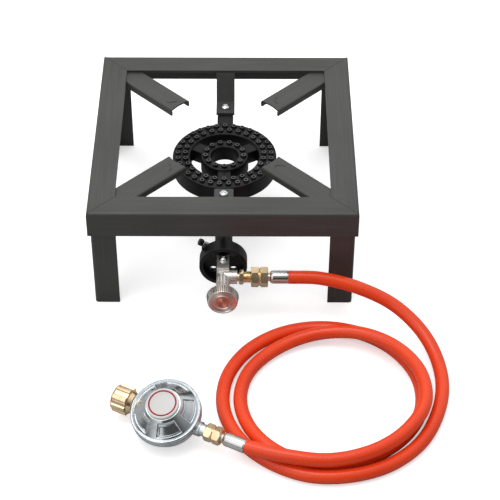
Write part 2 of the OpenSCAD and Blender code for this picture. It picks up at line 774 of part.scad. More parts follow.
module regulator_body() {
    outer = [
        [0, -reg_boss_depth], [reg_boss_r, -reg_boss_depth], [reg_boss_r, reg_floor_z - 4],
        [reg_cup_r - 7, reg_floor_z - 3], [reg_cup_r, reg_floor_z + 4], [reg_cup_r, reg_seat_z - 4],
        [reg_flange_r, reg_seat_z - 4], [reg_flange_r, reg_seat_z], [0, reg_seat_z]
    ];
    cavity = [
        [0, reg_floor_z + 1], [reg_cup_r - 7, reg_floor_z + 1], [reg_cup_r - 4, reg_floor_z + 4],
        [reg_cup_r - 4, reg_seat_z + 1], [0, reg_seat_z + 1]
    ];
    post_w = 3;
    color("#b9bbbd") at_reg() {
        difference() {
            union() {
                rotate_extrude() polygon(outer);
                along_x(reg_cup_r - 2, outlet_x - 6, outlet_boss_r);
                along_x(reg_cup_r - 2, outlet_x + seat_depth, nipple_r);
                along_x(-reg_cup_r - 3, -reg_cup_r + 2, inlet_boss_r);
            }
            rotate_extrude() polygon(cavity);
            along_x(reg_cup_r - 6, outlet_x + seat_depth + 1, tail_bore_r);
            along_x(-reg_cup_r - 4, -reg_cup_r + 6, stem_r + slip);
        }
        for (side = [-1, 1]) difference() {
            translate([lever_pivot_x - 3, side * 5.5 - post_w / 2, reg_floor_z])
                cube([6, post_w, lever_pivot_z - reg_floor_z + 2.6]);
            translate([lever_pivot_x, 8, lever_pivot_z]) rotate([90, 0, 0]) cylinder(h = 16, r = 1 + slip);
        }
    }
}

// Cover pressed round the body's flange, with sector pockets in its cone
module regulator_bonnet() {
    lip_z = reg_seat_z - 5.5;
    slope = (crown_z - rim_z) / (reg_cup_r + 1 - bonnet_top_r);
    shell = [
        [reg_flange_r + slip, lip_z], [reg_r, lip_z], [reg_r, lip_z + 3], [reg_r - 0.7, lip_z + 4.2],
        [reg_r, lip_z + 5.4], [reg_r, rim_z - 1], [reg_r - 1, rim_z], [reg_cup_r + 1, rim_z],
        [bonnet_top_r, crown_z], [11, crown_z], [11, crown_z - bonnet_t],
        [bonnet_top_r - 1, crown_z - bonnet_t], [reg_cup_r - 3, rim_z - 1],
        [reg_cup_r - 3, reg_seat_z + diaphragm_t], [reg_flange_r + slip, reg_seat_z + diaphragm_t]
    ];
    in_r = bonnet_top_r + 2;
    out_r = reg_cup_r - 1;
    face_z = crown_z - (in_r - bonnet_top_r) * slope;
    foot_z = crown_z - (out_r - bonnet_top_r) * slope;
    pocket_depth = 1.4;
    color("#c6c9cc") at_reg() difference() {
        rotate_extrude() polygon(shell);
        along_x(-reg_r - 1, -reg_cup_r + 4, inlet_boss_r + gap);
        along_x(reg_cup_r - 4, reg_r + 1, outlet_boss_r + gap);
        for (k = [0:bonnet_pockets - 1]) rotate(360 / bonnet_pockets * k + 65)
            rotate_extrude(angle = 250 / bonnet_pockets) polygon([
                [in_r, face_z - pocket_depth], [out_r, foot_z - pocket_depth],
                [out_r, foot_z + 3], [in_r, face_z + 3]
            ]);
    }
}
module diaphragm() {
    color("#2a2a2a") at_reg() translate([0, 0, reg_seat_z]) difference() {
        cylinder(h = diaphragm_t, r = reg_flange_r - 0.5);
        translate([0, 0, -1]) cylinder(h = diaphragm_t + 2, r = 3 + slip);
    }
}
module diaphragm_plate() {
    color("#a8a8aa") at_reg() {
        translate([0, 0, diaphragm_z]) cylinder(h = 1.5, r = 19);
        translate([0, 0, lever_pivot_z + lever_t + slip])
            cylinder(h = diaphragm_z - lever_pivot_z - lever_t - slip, r = 3);
    }
}
module regulator_spring() {
    color("#9a9a9c") at_reg() translate([0, 0, diaphragm_z + 1.5 + slip])
        coil(7.5, 0.9, crown_z - bonnet_t - diaphragm_z - 1.5 - 2 * slip, 4);
}
module spring_adjuster() {
    color("#3a3a3c") at_reg() translate([0, 0, crown_z - bonnet_t]) difference() {
        cylinder(h = bonnet_t, r = 11 - slip);
        translate([-4, -0.9, bonnet_t - 1.2]) cube([8, 1.8, 2]);
    }
}
module label_cap() {
    color("#d9d9d6") at_reg() translate([0, 0, crown_z]) {
        cylinder(h = 2.2, r = cap_r);
        translate([0, 0, 2.2]) cylinder(h = 1.2, r1 = cap_r, r2 = cap_r - 1.4);
    }
}

// Lever: pushed by the diaphragm's stem at the middle, it closes the inlet at its short end
module regulator_lever() {
    lever_w = 6;
    color("#b0a070") at_reg() translate([lever_pivot_x, 0, lever_pivot_z]) difference() {
        union() {
            translate([0, -lever_w / 2, 0]) cube([4 - lever_pivot_x, lever_w, lever_t]);
            translate([0, lever_w / 2, 0]) rotate([90, 0, 0]) cylinder(h = lever_w, r = lever_t);
            translate([-lever_arm_t / 2, -lever_w / 2, -lever_pivot_z - 2.5])
                cube([lever_arm_t, lever_w, lever_pivot_z + 2]);
        }
        translate([0, lever_w, 0]) rotate([90, 0, 0]) cylinder(h = 2 * lever_w, r = 1 + slip);
    }
}
module lever_pin() {
    color("#8a8a8c") at_reg() translate([lever_pivot_x, 7, lever_pivot_z]) rotate([90, 0, 0])
        cylinder(h = 14, r = 1);
}
module inlet_valve_pad() {
    color("#222222") at_reg() along_x(inlet_jet_x + 0.5, lever_pivot_x - lever_arm_t / 2 - slip, pad_r);
}
module inlet_stem() {
    color("#c9a24b") at_reg() difference() {
        union() {
            along_x(-reg_cup_r + 7, inlet_jet_x, 3);
            along_x(flange_x, -reg_cup_r + 7, stem_r);
            along_x(flange_x, shoulder_x - gap, 9.4);
        }
        along_x(nut_front_x, inlet_jet_x + 1, 1.4);
    }
}
module inlet_seal() {
    color("#1f1f1f") at_reg() difference() {
        along_x(flange_x - 1.7, flange_x, 8.6);
        along_x(flange_x - 3, flange_x + 1, 3.5);
    }
}
module inlet_hand_nut() {
    r = hand_nut_d / 2;
    color("#c4a15c") at_reg() difference() {
        union() {
            along_x(nut_front_x, nut_front_x + 1.2, r - 1.5, r);
            along_x(nut_front_x + 1.2, nut_back_x - 5, r);
            along_x(nut_back_x - 5, nut_back_x, r - 3, r - 5);
        }
        along_x(nut_front_x - 1, shoulder_x - 1, thread_r);
        along_x(nut_front_x + thread_len, shoulder_x, thread_r + 0.6);
        along_x(shoulder_x - 1, nut_back_x + 1, stem_r + slip);
        for (k = [0:hand_nut_lobes - 1]) rotate([360 * k / hand_nut_lobes, 0, 0])
            translate([0, 0, r + 1]) along_x(nut_front_x - 1, nut_back_x - 4.99, lobe_r, lobe_r);
    }
}

rail_front();
rail_rear();
rail_left();
rail_right();
leg_front_left();
leg_front_right();
leg_rear_right();
leg_rear_left();
pot_support_front_left();
pot_support_front_right();
pot_support_rear_right();
pot_support_rear_left();
burner_bracket_front();
burner_bracket_rear();
bracket_screws();
bracket_washers();
bracket_nuts();
burner_casting();
air_plate();
air_shutter();
shutter_lock_screw();
shutter_spring();
valve_body();
injector();
fork_clamp_screw();
valve_spindle();
spindle_seal();
packing_nut();
valve_knob();
knob_cap();
inlet_nipple();
union_nut_valve();
hose_tail_valve();
hose_ferrule_valve();
gas_hose();
hose_ferrule_regulator();
hose_tail_regulator();
union_nut_regulator();
regulator_body();
regulator_bonnet();
diaphragm();
diaphragm_plate();
regulator_spring();
spring_adjuster();
label_cap();
regulator_lever();
lever_pin();
inlet_valve_pad();
inlet_stem();
inlet_seal();
inlet_hand_nut();
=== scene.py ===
"""Propane burner stand: what it looks like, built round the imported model.

Sizes in the classes are millimetres. A mesh becomes metres as it is finished, and its
object stays at the origin, unturned. X is right, Y is back and Z is up, from the floor
below the burner's centre.
"""

from __future__ import annotations

import json
import logging
import math
from dataclasses import dataclass, field, replace
from enum import Enum
from typing import Any, Callable, Sequence

import bmesh
import bpy
from mathutils import Matrix, Vector

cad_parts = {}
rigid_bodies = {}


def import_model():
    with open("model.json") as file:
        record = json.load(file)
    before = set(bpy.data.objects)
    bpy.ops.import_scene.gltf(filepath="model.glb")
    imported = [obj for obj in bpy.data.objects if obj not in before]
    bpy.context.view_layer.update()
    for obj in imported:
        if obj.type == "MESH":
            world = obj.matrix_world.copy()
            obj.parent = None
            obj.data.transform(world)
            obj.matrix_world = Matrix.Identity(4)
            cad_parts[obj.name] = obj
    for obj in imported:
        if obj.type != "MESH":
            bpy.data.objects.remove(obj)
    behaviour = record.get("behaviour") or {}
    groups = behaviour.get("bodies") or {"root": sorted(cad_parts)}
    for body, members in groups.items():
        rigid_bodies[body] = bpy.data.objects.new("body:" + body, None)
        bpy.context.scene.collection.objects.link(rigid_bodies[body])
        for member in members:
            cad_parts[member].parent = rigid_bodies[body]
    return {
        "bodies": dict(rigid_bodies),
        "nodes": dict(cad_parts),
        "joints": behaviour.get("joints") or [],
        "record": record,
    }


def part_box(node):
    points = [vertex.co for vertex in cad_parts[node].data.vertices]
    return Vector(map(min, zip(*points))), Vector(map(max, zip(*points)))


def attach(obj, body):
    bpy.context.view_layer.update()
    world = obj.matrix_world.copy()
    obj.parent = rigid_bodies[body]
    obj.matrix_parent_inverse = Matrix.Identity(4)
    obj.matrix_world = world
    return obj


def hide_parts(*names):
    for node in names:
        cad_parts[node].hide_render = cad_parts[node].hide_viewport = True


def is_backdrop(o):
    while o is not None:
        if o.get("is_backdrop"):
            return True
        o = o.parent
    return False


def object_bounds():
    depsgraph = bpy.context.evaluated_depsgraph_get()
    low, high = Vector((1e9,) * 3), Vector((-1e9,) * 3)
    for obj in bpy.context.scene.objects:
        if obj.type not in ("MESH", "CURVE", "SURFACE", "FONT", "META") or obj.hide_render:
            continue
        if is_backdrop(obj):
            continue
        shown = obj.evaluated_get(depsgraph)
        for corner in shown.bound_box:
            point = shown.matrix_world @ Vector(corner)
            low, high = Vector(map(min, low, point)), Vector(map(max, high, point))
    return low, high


log = logging.getLogger("burner_stand")

MM = 0.001
TAU = 2 * math.pi
POLE = 1e-6
SHARP = math.radians(32)
CROSS_SHARP = math.radians(40)
RIDGE_SHARP = math.radians(60)
UNION_BORE = 6.65
TAIL_BORE = 4.6
FERRULE_R = 7.4
FERRULE_BORE = 4.55

Triple = tuple[float, float, float]
Colour = Triple
Profile = list[tuple[float, float]]
Shape = Callable[[float, float, float], tuple[float, float]]
Group = tuple["NodeTree", bpy.types.Node, bpy.types.Node]


class Body(Enum):
    """The bodies that pieces ride on."""

    STAND = "stand"
    KNOB = "knob"
    SHUTTER = "shutter"
    HAND_NUT = "hand_nut"


class Skin(Enum):
    """How a surface is marked at a small scale."""

    DRAWN = "drawn"
    CAST = "cast"
    PLATED = "plated"
    TURNED = "turned"
    MOULDED = "moulded"
    BRAIDED = "braided"


# ---- Shader groups -------------------------------------------------------------------


class NodeTree:
    """A node tree under construction, with short ways to add and join nodes."""

    def __init__(self, tree: bpy.types.NodeTree) -> None:
        """Keeps the tree and clears what it starts with."""
        self.tree = tree
        tree.nodes.clear()

    def socket(self, name: str, kind: str, value: Any = None, out: bool = False) -> None:
        """Adds a named input or output to a group.

        Args:
            name: The socket's name.
            kind: Its type, without the NodeSocket prefix.
            value: The default of an input.
            out: True for an output.
        """
        made = self.tree.interface.new_socket(
            name=name, in_out="OUTPUT" if out else "INPUT", socket_type=f"NodeSocket{kind}"
        )
        if value is not None:
            made.default_value = value

    def add(
        self, kind: str, inputs: dict[Any, Any] | None = None, **settings: Any
    ) -> bpy.types.Node:
        """Adds a node.

        Args:
            kind: The node's type name.
            inputs: Input name or number, to a value or to a socket that feeds it.
            **settings: Attributes of the node.

        Returns:
            The node.
        """
        node = self.tree.nodes.new(kind)
        for name, value in settings.items():
            setattr(node, name, value)
        for key, value in (inputs or {}).items():
            if isinstance(value, bpy.types.NodeSocket):
                self.tree.links.new(value, node.inputs[key])
            else:
                node.inputs[key].default_value = value
        return node

    def math(self, operation: str, *values: Any) -> bpy.types.NodeSocket:
        """Adds a math node and returns its result."""
        return self.add("ShaderNodeMath", dict(enumerate(values)), operation=operation).outputs[0]

    def mix(self, share: bpy.types.NodeSocket, first: Any, second: Colour) -> bpy.types.NodeSocket:
        """Adds a mix of two colours.

        Args:
            share: How much of the second colour there is.
            first: The first colour, or the socket that gives it.
            second: The second colour.

        Returns:
            The mixed colour.
        """
        if not isinstance(first, bpy.types.NodeSocket):
            first = (*first, 1.0)
        return self.add(
            "ShaderNodeMix", {0: share, 6: first, 7: (*second, 1.0)}, data_type="RGBA"
        ).outputs[2]


def shader_group(name: str) -> Group:
    """Starts a shader group.

    Args:
        name: The group's name.

    Returns:
        The tree, its group input and its group output.
    """
    build = NodeTree(bpy.data.node_groups.new(name, "ShaderNodeTree"))
    return build, build.add("NodeGroupInput"), build.add("NodeGroupOutput")


def skin_group(name: str) -> Group:
    """Starts a group of small marks, with inputs Vector and Scale and output Value.

    Args:
        name: The group's name.

    Returns:
        The tree, its group input and its group output.
    """
    build, start, end = shader_group(name)
    build.socket("Vector", "Vector")
    build.socket("Scale", "Float", 100.0)
    build.socket("Value", "Float", out=True)
    return build, start, end


def noise_group(
    name: str, detail: float, rough: float, low: float, high: float
) -> bpy.types.NodeTree:
    """A noise with its contrast stretched, from the vector and scale that it is given.

    Args:
        name: The group's name.
        detail: Octaves of noise.
        rough: How strong the fine octaves are.
        low: The noise value that gives 0.
        high: The noise value that gives 1.

    Returns:
        A group with inputs Vector and Scale and output Value.
    """
    build, start, end = skin_group(name)
    noise = build.add(
        "ShaderNodeTexNoise",
        {
            "Vector": start.outputs["Vector"],
            "Scale": start.outputs["Scale"],
            "Detail": detail,
            "Roughness": rough,
        },
    )
    spread = build.add("ShaderNodeMapRange", {0: noise.outputs[0], 1: low, 2: high})
    build.tree.links.new(spread.outputs[0], end.inputs["Value"])
    return build.tree


def cast_group() -> bpy.types.NodeTree:
    """The pebbled skin of sand-cast iron.

    Returns:
        A group with inputs Vector and Scale and output Value.
    """
    build, start, end = skin_group("cast_skin")
    pits = build.add(
        "ShaderNodeTexVoronoi",
        {"Vector": start.outputs["Vector"], "Scale": start.outputs["Scale"]},
        feature="SMOOTH_F1",
    )
    noise = build.add(
        "ShaderNodeTexNoise",
        {"Vector": start.outputs["Vector"], "Scale": start.outputs["Scale"], "Detail": 4.0},
    )
    total = build.math("MULTIPLY_ADD", pits.outputs["Distance"], 0.6, noise.outputs[0])
    build.tree.links.new(total, end.inputs["Value"])
    return build.tree


def drawn_group() -> bpy.types.NodeTree:
    """Powder coat over drawn sheet, with faint lines along local X.

    Returns:
        A group with inputs Vector and Scale and output Value.
    """
    build, start, end = skin_group("drawn_sheet")
    along = build.add(
        "ShaderNodeVectorMath",
        {0: start.outputs["Vector"], 1: (0.02, 1.0, 1.0)},
        operation="MULTIPLY",
    )
    lines = build.add(
        "ShaderNodeTexNoise",
        {"Vector": along.outputs[0], "Scale": start.outputs["Scale"], "Detail": 3.0},
    )
    peel = build.add(
        "ShaderNodeTexNoise",
        {"Vector": start.outputs["Vector"], "Scale": start.outputs["Scale"], "Detail": 1.0},
    )
    both = build.math("MULTIPLY_ADD", peel.outputs[0], 0.35, lines.outputs[0])
    spread = build.add("ShaderNodeMapRange", {0: both, 1: 0.45, 2: 0.95})
    build.tree.links.new(spread.outputs[0], end.inputs["Value"])
    return build.tree


def tool_mark_group() -> bpy.types.NodeTree:
    """Fine rings round the local Z axis, as a lathe leaves.

    Returns:
        A group with inputs Vector and Scale and output Value.
    """
    build, start, end = skin_group("tool_marks")
    split = build.add("ShaderNodeSeparateXYZ", {0: start.outputs["Vector"]})
    flat = build.math(
        "SQRT",
        build.math(
            "MULTIPLY_ADD",
            split.outputs[0],
            split.outputs[0],
            build.math("MULTIPLY", split.outputs[1], split.outputs[1]),
        ),
    )
    across = build.add("ShaderNodeCombineXYZ", {0: flat, 1: split.outputs[2]})
    noise = build.add(
        "ShaderNodeTexNoise",
        {"Vector": across.outputs[0], "Scale": start.outputs["Scale"], "Detail": 3.0},
        noise_dimensions="2D",
    )
    build.tree.links.new(noise.outputs[0], end.inputs["Value"])
    return build.tree


def lit_and_worn_edge_group() -> bpy.types.NodeTree:
    """A mask of outer edges, which are lightened partly as wear and partly as a painted highlight.

    Returns:
        A group with inputs Radius and Amount and output Mask.
    """
    build, start, end = shader_group("rubbed_and_lit_edges")
    build.socket("Radius", "Float", 0.0006)
    build.socket("Amount", "Float", 0.3)
    build.socket("Mask", "Float", out=True)
    geometry = build.add("ShaderNodeNewGeometry")
    bevel = build.add("ShaderNodeBevel", {"Radius": start.outputs["Radius"]}, samples=4)
    same = build.add(
        "ShaderNodeVectorMath",
        {0: bevel.outputs[0], 1: geometry.outputs["Normal"]},
        operation="DOT_PRODUCT",
    )
    mask = build.add("ShaderNodeMapRange", {0: same.outputs["Value"], 1: 0.99, 2: 0.8})
    scaled = build.math("MULTIPLY", mask.outputs[0], start.outputs["Amount"])
    build.tree.links.new(scaled, end.inputs["Mask"])
    return build.tree


def braid_group() -> bpy.types.NodeTree:
    """Two crossing sets of strands on a hose.

    It reads the mesh's own attributes: around, a unit vector, and along, in metres.

    Returns:
        A group with inputs Strands and Pitch and output Value.
    """
    build, start, end = shader_group("hose_braid")
    build.socket("Strands", "Float", 8.0)
    build.socket("Pitch", "Float", 0.04)
    build.socket("Value", "Float", out=True)
    around = build.add("ShaderNodeAttribute", attribute_name="around")
    along = build.add("ShaderNodeAttribute", attribute_name="along")
    split = build.add("ShaderNodeSeparateXYZ", {0: around.outputs["Vector"]})
    angle = build.math("ARCTAN2", split.outputs[1], split.outputs[0])
    turn = build.math("MULTIPLY", angle, start.outputs["Strands"])
    travel = build.math(
        "MULTIPLY",
        build.math("DIVIDE", along.outputs["Fac"], start.outputs["Pitch"]),
        build.math("MULTIPLY", start.outputs["Strands"], TAU),
    )
    waves = []
    for operation in ("ADD", "SUBTRACT"):
        phase = build.math("MULTIPLY", build.math(operation, turn, travel), 0.5)
        waves.append(build.math("ABSOLUTE", build.math("SINE", phase)))
    build.tree.links.new(build.math("MAXIMUM", *waves), end.inputs["Value"])
    return build.tree


class Groups:
    """The shader groups, each built once when it is first asked for."""

    _built: dict[str, bpy.types.NodeTree] = {}
    _makers: dict[str, Callable[[], bpy.types.NodeTree]] = {
        "patches": lambda: noise_group("patches", 3.0, 0.5, 0.38, 0.62),
        "drawn": drawn_group,
        "plated": lambda: noise_group("plated_skin", 6.0, 0.6, 0.25, 0.75),
        "moulded": lambda: noise_group("moulded_skin", 2.0, 0.5, 0.3, 0.7),
        "cast": cast_group,
        "turned": tool_mark_group,
        "edges": lit_and_worn_edge_group,
        "braided": braid_group,
    }

    @classmethod
    def get(cls, key: str) -> bpy.types.NodeTree:
        """A group, built if it isn't there yet.

        Args:
            key: What it is listed under.

        Returns:
            The group.
        """
        if key not in cls._built:
            cls._built[key] = cls._makers[key]()
        return cls._built[key]


# ---- Finishes ------------------------------------------------------------------------


@dataclass(frozen=True)
class Finish:
    """One surface finish, from which a material is made.

    Its colour drifts between colour and shade. Lengths are in metres, and centre and turn
    place the small marks' own frame.
    """

    name: str
    colour: Colour
    shade: Colour
    roughness: float
    skin: Skin
    metallic: float = 0.0
    coat: float = 0.0
    coat_roughness: float = 0.1
    specular: float = 0.5
    patch_scale: float = 18.0
    rough_spread: float = 0.05
    skin_scale: float = 900.0
    relief: float = 0.00004
    relief_strength: float = 0.3
    # The next two give the lighter colour of outer edges (and of drawn lines) and how far the edges
    # take it: partly wear, partly a painted highlight.
    worn_and_lit: Colour = (0.3, 0.3, 0.3)
    wear_and_highlight: float = 0.0
    edge_radius: float = 0.0006
    centre: Triple = (0.0, 0.0, 0.0)
    turn: Triple = (0.0, 0.0, 0.0)
    line_show: float = 0.16
    strand_show: float = 0.45
    strand_shade: float = 0.72

    def placed(self, name: str, place: Matrix) -> Finish:
        """The finish with its marks turned about a piece's own axis.

        Args:
            name: The new finish's name.
            place: The piece's frame, in mm.

        Returns:
            The finish.
        """
        centre, turn = tuple(place.translation * MM), tuple(place.to_euler())
        return replace(self, name=name, centre=centre, turn=turn)

    def material(self) -> bpy.types.Material:
        """The finish's material, built on first use.

        Returns:
            A material whose colour, roughness and relief come from its nodes.
        """
        label = f"{self.name}_finish"
        found = bpy.data.materials.get(label)
        if found is not None:
            return found
        made = bpy.data.materials.new(label)
        made.use_nodes = True
        build = NodeTree(made.node_tree)
        where = build.add("ShaderNodeTexCoord").outputs["Object"]
        local = build.add(
            "ShaderNodeMapping",
            {"Vector": where, "Location": self.centre, "Rotation": self.turn},
            vector_type="TEXTURE",
        ).outputs[0]
        patches = build.add("ShaderNodeGroup", node_tree=Groups.get("patches"))
        patches.inputs["Scale"].default_value = self.patch_scale
        build.tree.links.new(where, patches.inputs["Vector"])
        skin = self._skin(build, local)
        tone = build.mix(patches.outputs[0], self.colour, self.shade)
        # Outer edges are lightened: partly wear, partly a painted highlight along the edges.
        if self.wear_and_highlight > 0:
            edges = build.add("ShaderNodeGroup", node_tree=Groups.get("edges"))
            edges.inputs["Radius"].default_value = self.edge_radius
            edges.inputs["Amount"].default_value = self.wear_and_highlight
            tone = build.mix(edges.outputs[0], tone, self.worn_and_lit)
        if self.skin is Skin.DRAWN:
            tone = build.mix(build.math("MULTIPLY", skin, self.line_show), tone, self.worn_and_lit)
        # Between the strands the colour is darkened: painted shade in the braid's gaps.
        if self.skin is Skin.BRAIDED:
            gap_shade_colour = tuple(c * self.strand_shade for c in self.colour)
            gap_shade = build.math("MULTIPLY", build.math("SUBTRACT", 1.0, skin), self.strand_show)
            tone = build.mix(gap_shade, tone, gap_shade_colour)
        rough = build.math(
            "MULTIPLY_ADD", patches.outputs[0], self.rough_spread, self.roughness
        )
        relief = build.add(
            "ShaderNodeBump",
            {"Height": skin, "Distance": self.relief, "Strength": self.relief_strength},
        )
        shader = build.add(
            "ShaderNodeBsdfPrincipled",
            {
                "Base Color": tone,
                "Roughness": rough,
                "Normal": relief.outputs[0],
                "Metallic": self.metallic,
                "Coat Weight": self.coat,
                "Coat Roughness": self.coat_roughness,
                "Specular IOR Level": self.specular,
            },
        )
        build.add("ShaderNodeOutputMaterial", {"Surface": shader.outputs[0]})
        return made

    def _skin(self, build: NodeTree, local: bpy.types.NodeSocket) -> bpy.types.NodeSocket:
        """Places the group that makes the small marks.

        Args:
            build: The material's tree.
            local: The vector that the marks follow.

        Returns:
            The marks' height.
        """
        node = build.add("ShaderNodeGroup", node_tree=Groups.get(self.skin.value))
        if self.skin is not Skin.BRAIDED:
            node.inputs["Scale"].default_value = self.skin_scale
            build.tree.links.new(local, node.inputs["Vector"])
        return node.outputs[0]


# Its lighter edges are partly wear where the coat thins and partly a painted highlight along the
# bends.
POWDER_COAT = Finish(
    "powder_coat", (0.046, 0.046, 0.044), (0.036, 0.036, 0.034), 0.4, Skin.DRAWN,
    patch_scale=9.0, skin_scale=700.0, relief=0.00008, relief_strength=0.2,
    worn_and_lit=(0.18, 0.18, 0.175), wear_and_highlight=0.35,
)
# Near black: painted shade standing in for the groove along each mitre.
SEAM_SHADOW = replace(
    POWDER_COAT, name="seam_shadow", colour=(0.008, 0.008, 0.008), shade=(0.012, 0.012, 0.012),
    skin=Skin.MOULDED, wear_and_highlight=0.0,
)
# Its lighter edge colour is a painted highlight along the casting's edges and rims.
ENAMELLED_IRON = Finish(
    "enamelled_iron", (0.008, 0.008, 0.009), (0.004, 0.004, 0.005), 0.3, Skin.CAST,
    patch_scale=35.0, rough_spread=0.12, skin_scale=600.0, relief=0.00025,
    relief_strength=0.35, worn_and_lit=(0.16, 0.16, 0.16), wear_and_highlight=0.5, edge_radius=0.0004,
    specular=0.25,
)
SHUTTER_BLACK = replace(
    ENAMELLED_IRON, name="shutter_black", roughness=0.34, skin_scale=900.0,
    relief=0.00012, worn_and_lit=(0.35, 0.35, 0.36), wear_and_highlight=0.35, edge_radius=0.0005,
)
# The ports' mouths, lighter than the black enamel: a painted highlight on each rim.
PORT_RIM_HIGHLIGHT = replace(
    ENAMELLED_IRON, name="port_rim_highlight", colour=(0.10, 0.10, 0.10), shade=(0.05, 0.05, 0.05),
    specular=0.6, wear_and_highlight=0.0,
)
ZINC_PLATE = Finish(
    "zinc_plate", (0.83, 0.83, 0.85), (0.74, 0.75, 0.78), 0.2, Skin.PLATED, metallic=1.0,
    skin_scale=500.0, relief=0.00003, relief_strength=0.25,
)
NICKEL = Finish(
    "nickel", (0.84, 0.80, 0.75), (0.70, 0.66, 0.61), 0.22, Skin.PLATED, metallic=0.8,
    patch_scale=60.0, rough_spread=0.14, skin_scale=350.0, relief=0.00008,
)
BRASS = Finish(
    "brass", (0.93, 0.73, 0.48), (0.83, 0.62, 0.38), 0.16, Skin.TURNED, metallic=1.0,
    patch_scale=80.0, rough_spread=0.1, skin_scale=2500.0, relief=0.00002,
)
KNOB_METAL = Finish(
    "knob_metal", (0.80, 0.76, 0.72), (0.68, 0.63, 0.60), 0.15, Skin.TURNED, metallic=1.0,
    patch_scale=60.0, rough_spread=0.1, skin_scale=1600.0, relief=0.00005,
)
KNOB_DISC = replace(
    KNOB_METAL, name="knob_disc", colour=(0.80, 0.36, 0.28), shade=(0.70, 0.28, 0.21),
    roughness=0.38,
)
KNOB_RING = replace(
    KNOB_DISC, name="knob_ring", colour=(0.82, 0.58, 0.50), shade=(0.74, 0.50, 0.43)
)
FERRULE_CHROME = Finish(
    "ferrule_chrome", (0.68, 0.67, 0.66), (0.58, 0.57, 0.56), 0.09, Skin.TURNED, metallic=1.0,
    patch_scale=60.0, skin_scale=2500.0, relief=0.00001,
)
BRIGHT_ZINC = Finish(
    "bright_zinc", (0.70, 0.74, 0.76), (0.56, 0.60, 0.63), 0.13, Skin.PLATED, metallic=1.0,
    patch_scale=45.0, rough_spread=0.1, skin_scale=300.0, relief=0.00006, relief_strength=0.2,
)
CAST_ZINC = replace(
    BRIGHT_ZINC, name="cast_zinc", roughness=0.3, skin=Skin.CAST, skin_scale=900.0
)
HOSE_RUBBER = Finish(
    "hose_rubber", (0.96, 0.072, 0.012), (0.88, 0.058, 0.010), 0.24, Skin.BRAIDED, specular=0.4,
    patch_scale=14.0, relief=0.00025, relief_strength=0.3,
)
SEAL_RUBBER = Finish(
    "seal_rubber", (0.012, 0.012, 0.012), (0.02, 0.02, 0.02), 0.6, Skin.MOULDED
)
DARK_PLASTIC = replace(SEAL_RUBBER, name="dark_plastic", roughness=0.35)
CAP_WHITE = Finish(
    "cap_white", (0.74, 0.74, 0.72), (0.70, 0.70, 0.68), 0.3, Skin.MOULDED, coat=0.3,
    skin_scale=1500.0, relief=0.00002,
)
LABEL_GREY = replace(
    CAP_WHITE, name="label_grey", colour=(0.62, 0.60, 0.585), shade=(0.59, 0.575, 0.56)
)
LABEL_RED = replace(
    CAP_WHITE, name="label_red", colour=(0.42, 0.012, 0.03), shade=(0.36, 0.01, 0.025), coat=0.0,
    specular=0.2,
)


# ---- Meshes --------------------------------------------------------------------------


def rounded(corners: Sequence[Triple], loop: bool = False, steps: int = 4) -> Profile:
    """Rounds the corners of an outline.

    Args:
        corners: (radius, height, fillet) of each corner, in mm.
        loop: True if the outline closes on itself.
        steps: Segments in each fillet.

    Returns:
        The outline's points.
    """
    outline: Profile = []
    count = len(corners)
    for i, (x, y, fillet) in enumerate(corners):
        if fillet <= 0 or (not loop and i in (0, count - 1)):
            outline.append((x, y))
            continue
        here = Vector((x, y))
        back = Vector(corners[i - 1][:2]) - here
        ahead = Vector(corners[(i + 1) % count][:2]) - here
        reach = fillet / math.tan(back.angle(ahead) / 2)
        reach = min(reach, 0.48 * back.length, 0.48 * ahead.length)
        start, end = here + back.normalized() * reach, here + ahead.normalized() * reach
        for k in range(steps + 1):
            t = k / steps
            point = start * (1 - t) ** 2 + here * 2 * t * (1 - t) + end * t * t
            outline.append((point.x, point.y))
    return outline


def dense(outline: Profile, step: float, loop: bool = False) -> Profile:
    """Splits an outline's long sides.

    Args:
        outline: The outline's points.
        step: The longest side that may stay, in mm.
        loop: True if the outline closes on itself.

    Returns:
        The outline with its new points.
    """
    points: Profile = []
    ends = outline[1:] + ([outline[0]] if loop else [])
    for (x0, y0), (x1, y1) in zip(outline, ends):
        parts = max(1, math.ceil(math.hypot(x1 - x0, y1 - y0) / step))
        points += [(x0 + (x1 - x0) * k / parts, y0 + (y1 - y0) * k / parts) for k in range(parts)]
    return points if loop else points + [outline[-1]]


def new_piece(
    name: str, bm: bmesh.types.BMesh, finish: Finish, sharp: float = SHARP
) -> bpy.types.Object:
    """Turns a mesh under construction, in mm, into an object in metres.

    Args:
        name: The piece's name.
        bm: The mesh, which is freed.
        finish: Its surface.
        sharp: Edges that turn by more than this stay sharp.

    Returns:
        The object, linked to the scene.
    """
    bmesh.ops.recalc_face_normals(bm, faces=bm.faces)
    bmesh.ops.scale(bm, vec=(MM, MM, MM), verts=bm.verts)
    mesh = bpy.data.meshes.new(name)
    bm.to_mesh(mesh)
    bm.free()
    mesh.shade_smooth()
    mesh.set_sharp_from_angle(angle=sharp)
    made = bpy.data.objects.new(name, mesh)
    bpy.context.scene.collection.objects.link(made)
    mesh.materials.append(finish.material())
    return made


def skin_rings(bm: bmesh.types.BMesh, rings: list[list[Vector]], loop: bool) -> None:
    """Joins rings of points into walls; a ring of one point is a pole.

    Args:
        bm: The mesh to add to.
        rings: The rings in order.
        loop: True if the last ring joins the first.
    """
    made = [[bm.verts.new(point) for point in ring] for ring in rings]
    for low, high in list(zip(made, made[1:])) + ([(made[-1], made[0])] if loop else []):
        for k in range(max(len(low), len(high))):
            quad = [
                low[k % len(low)],
                low[(k + 1) % len(low)],
                high[(k + 1) % len(high)],
                high[k % len(high)],
            ]
            bm.faces.new(list(dict.fromkeys(quad)))


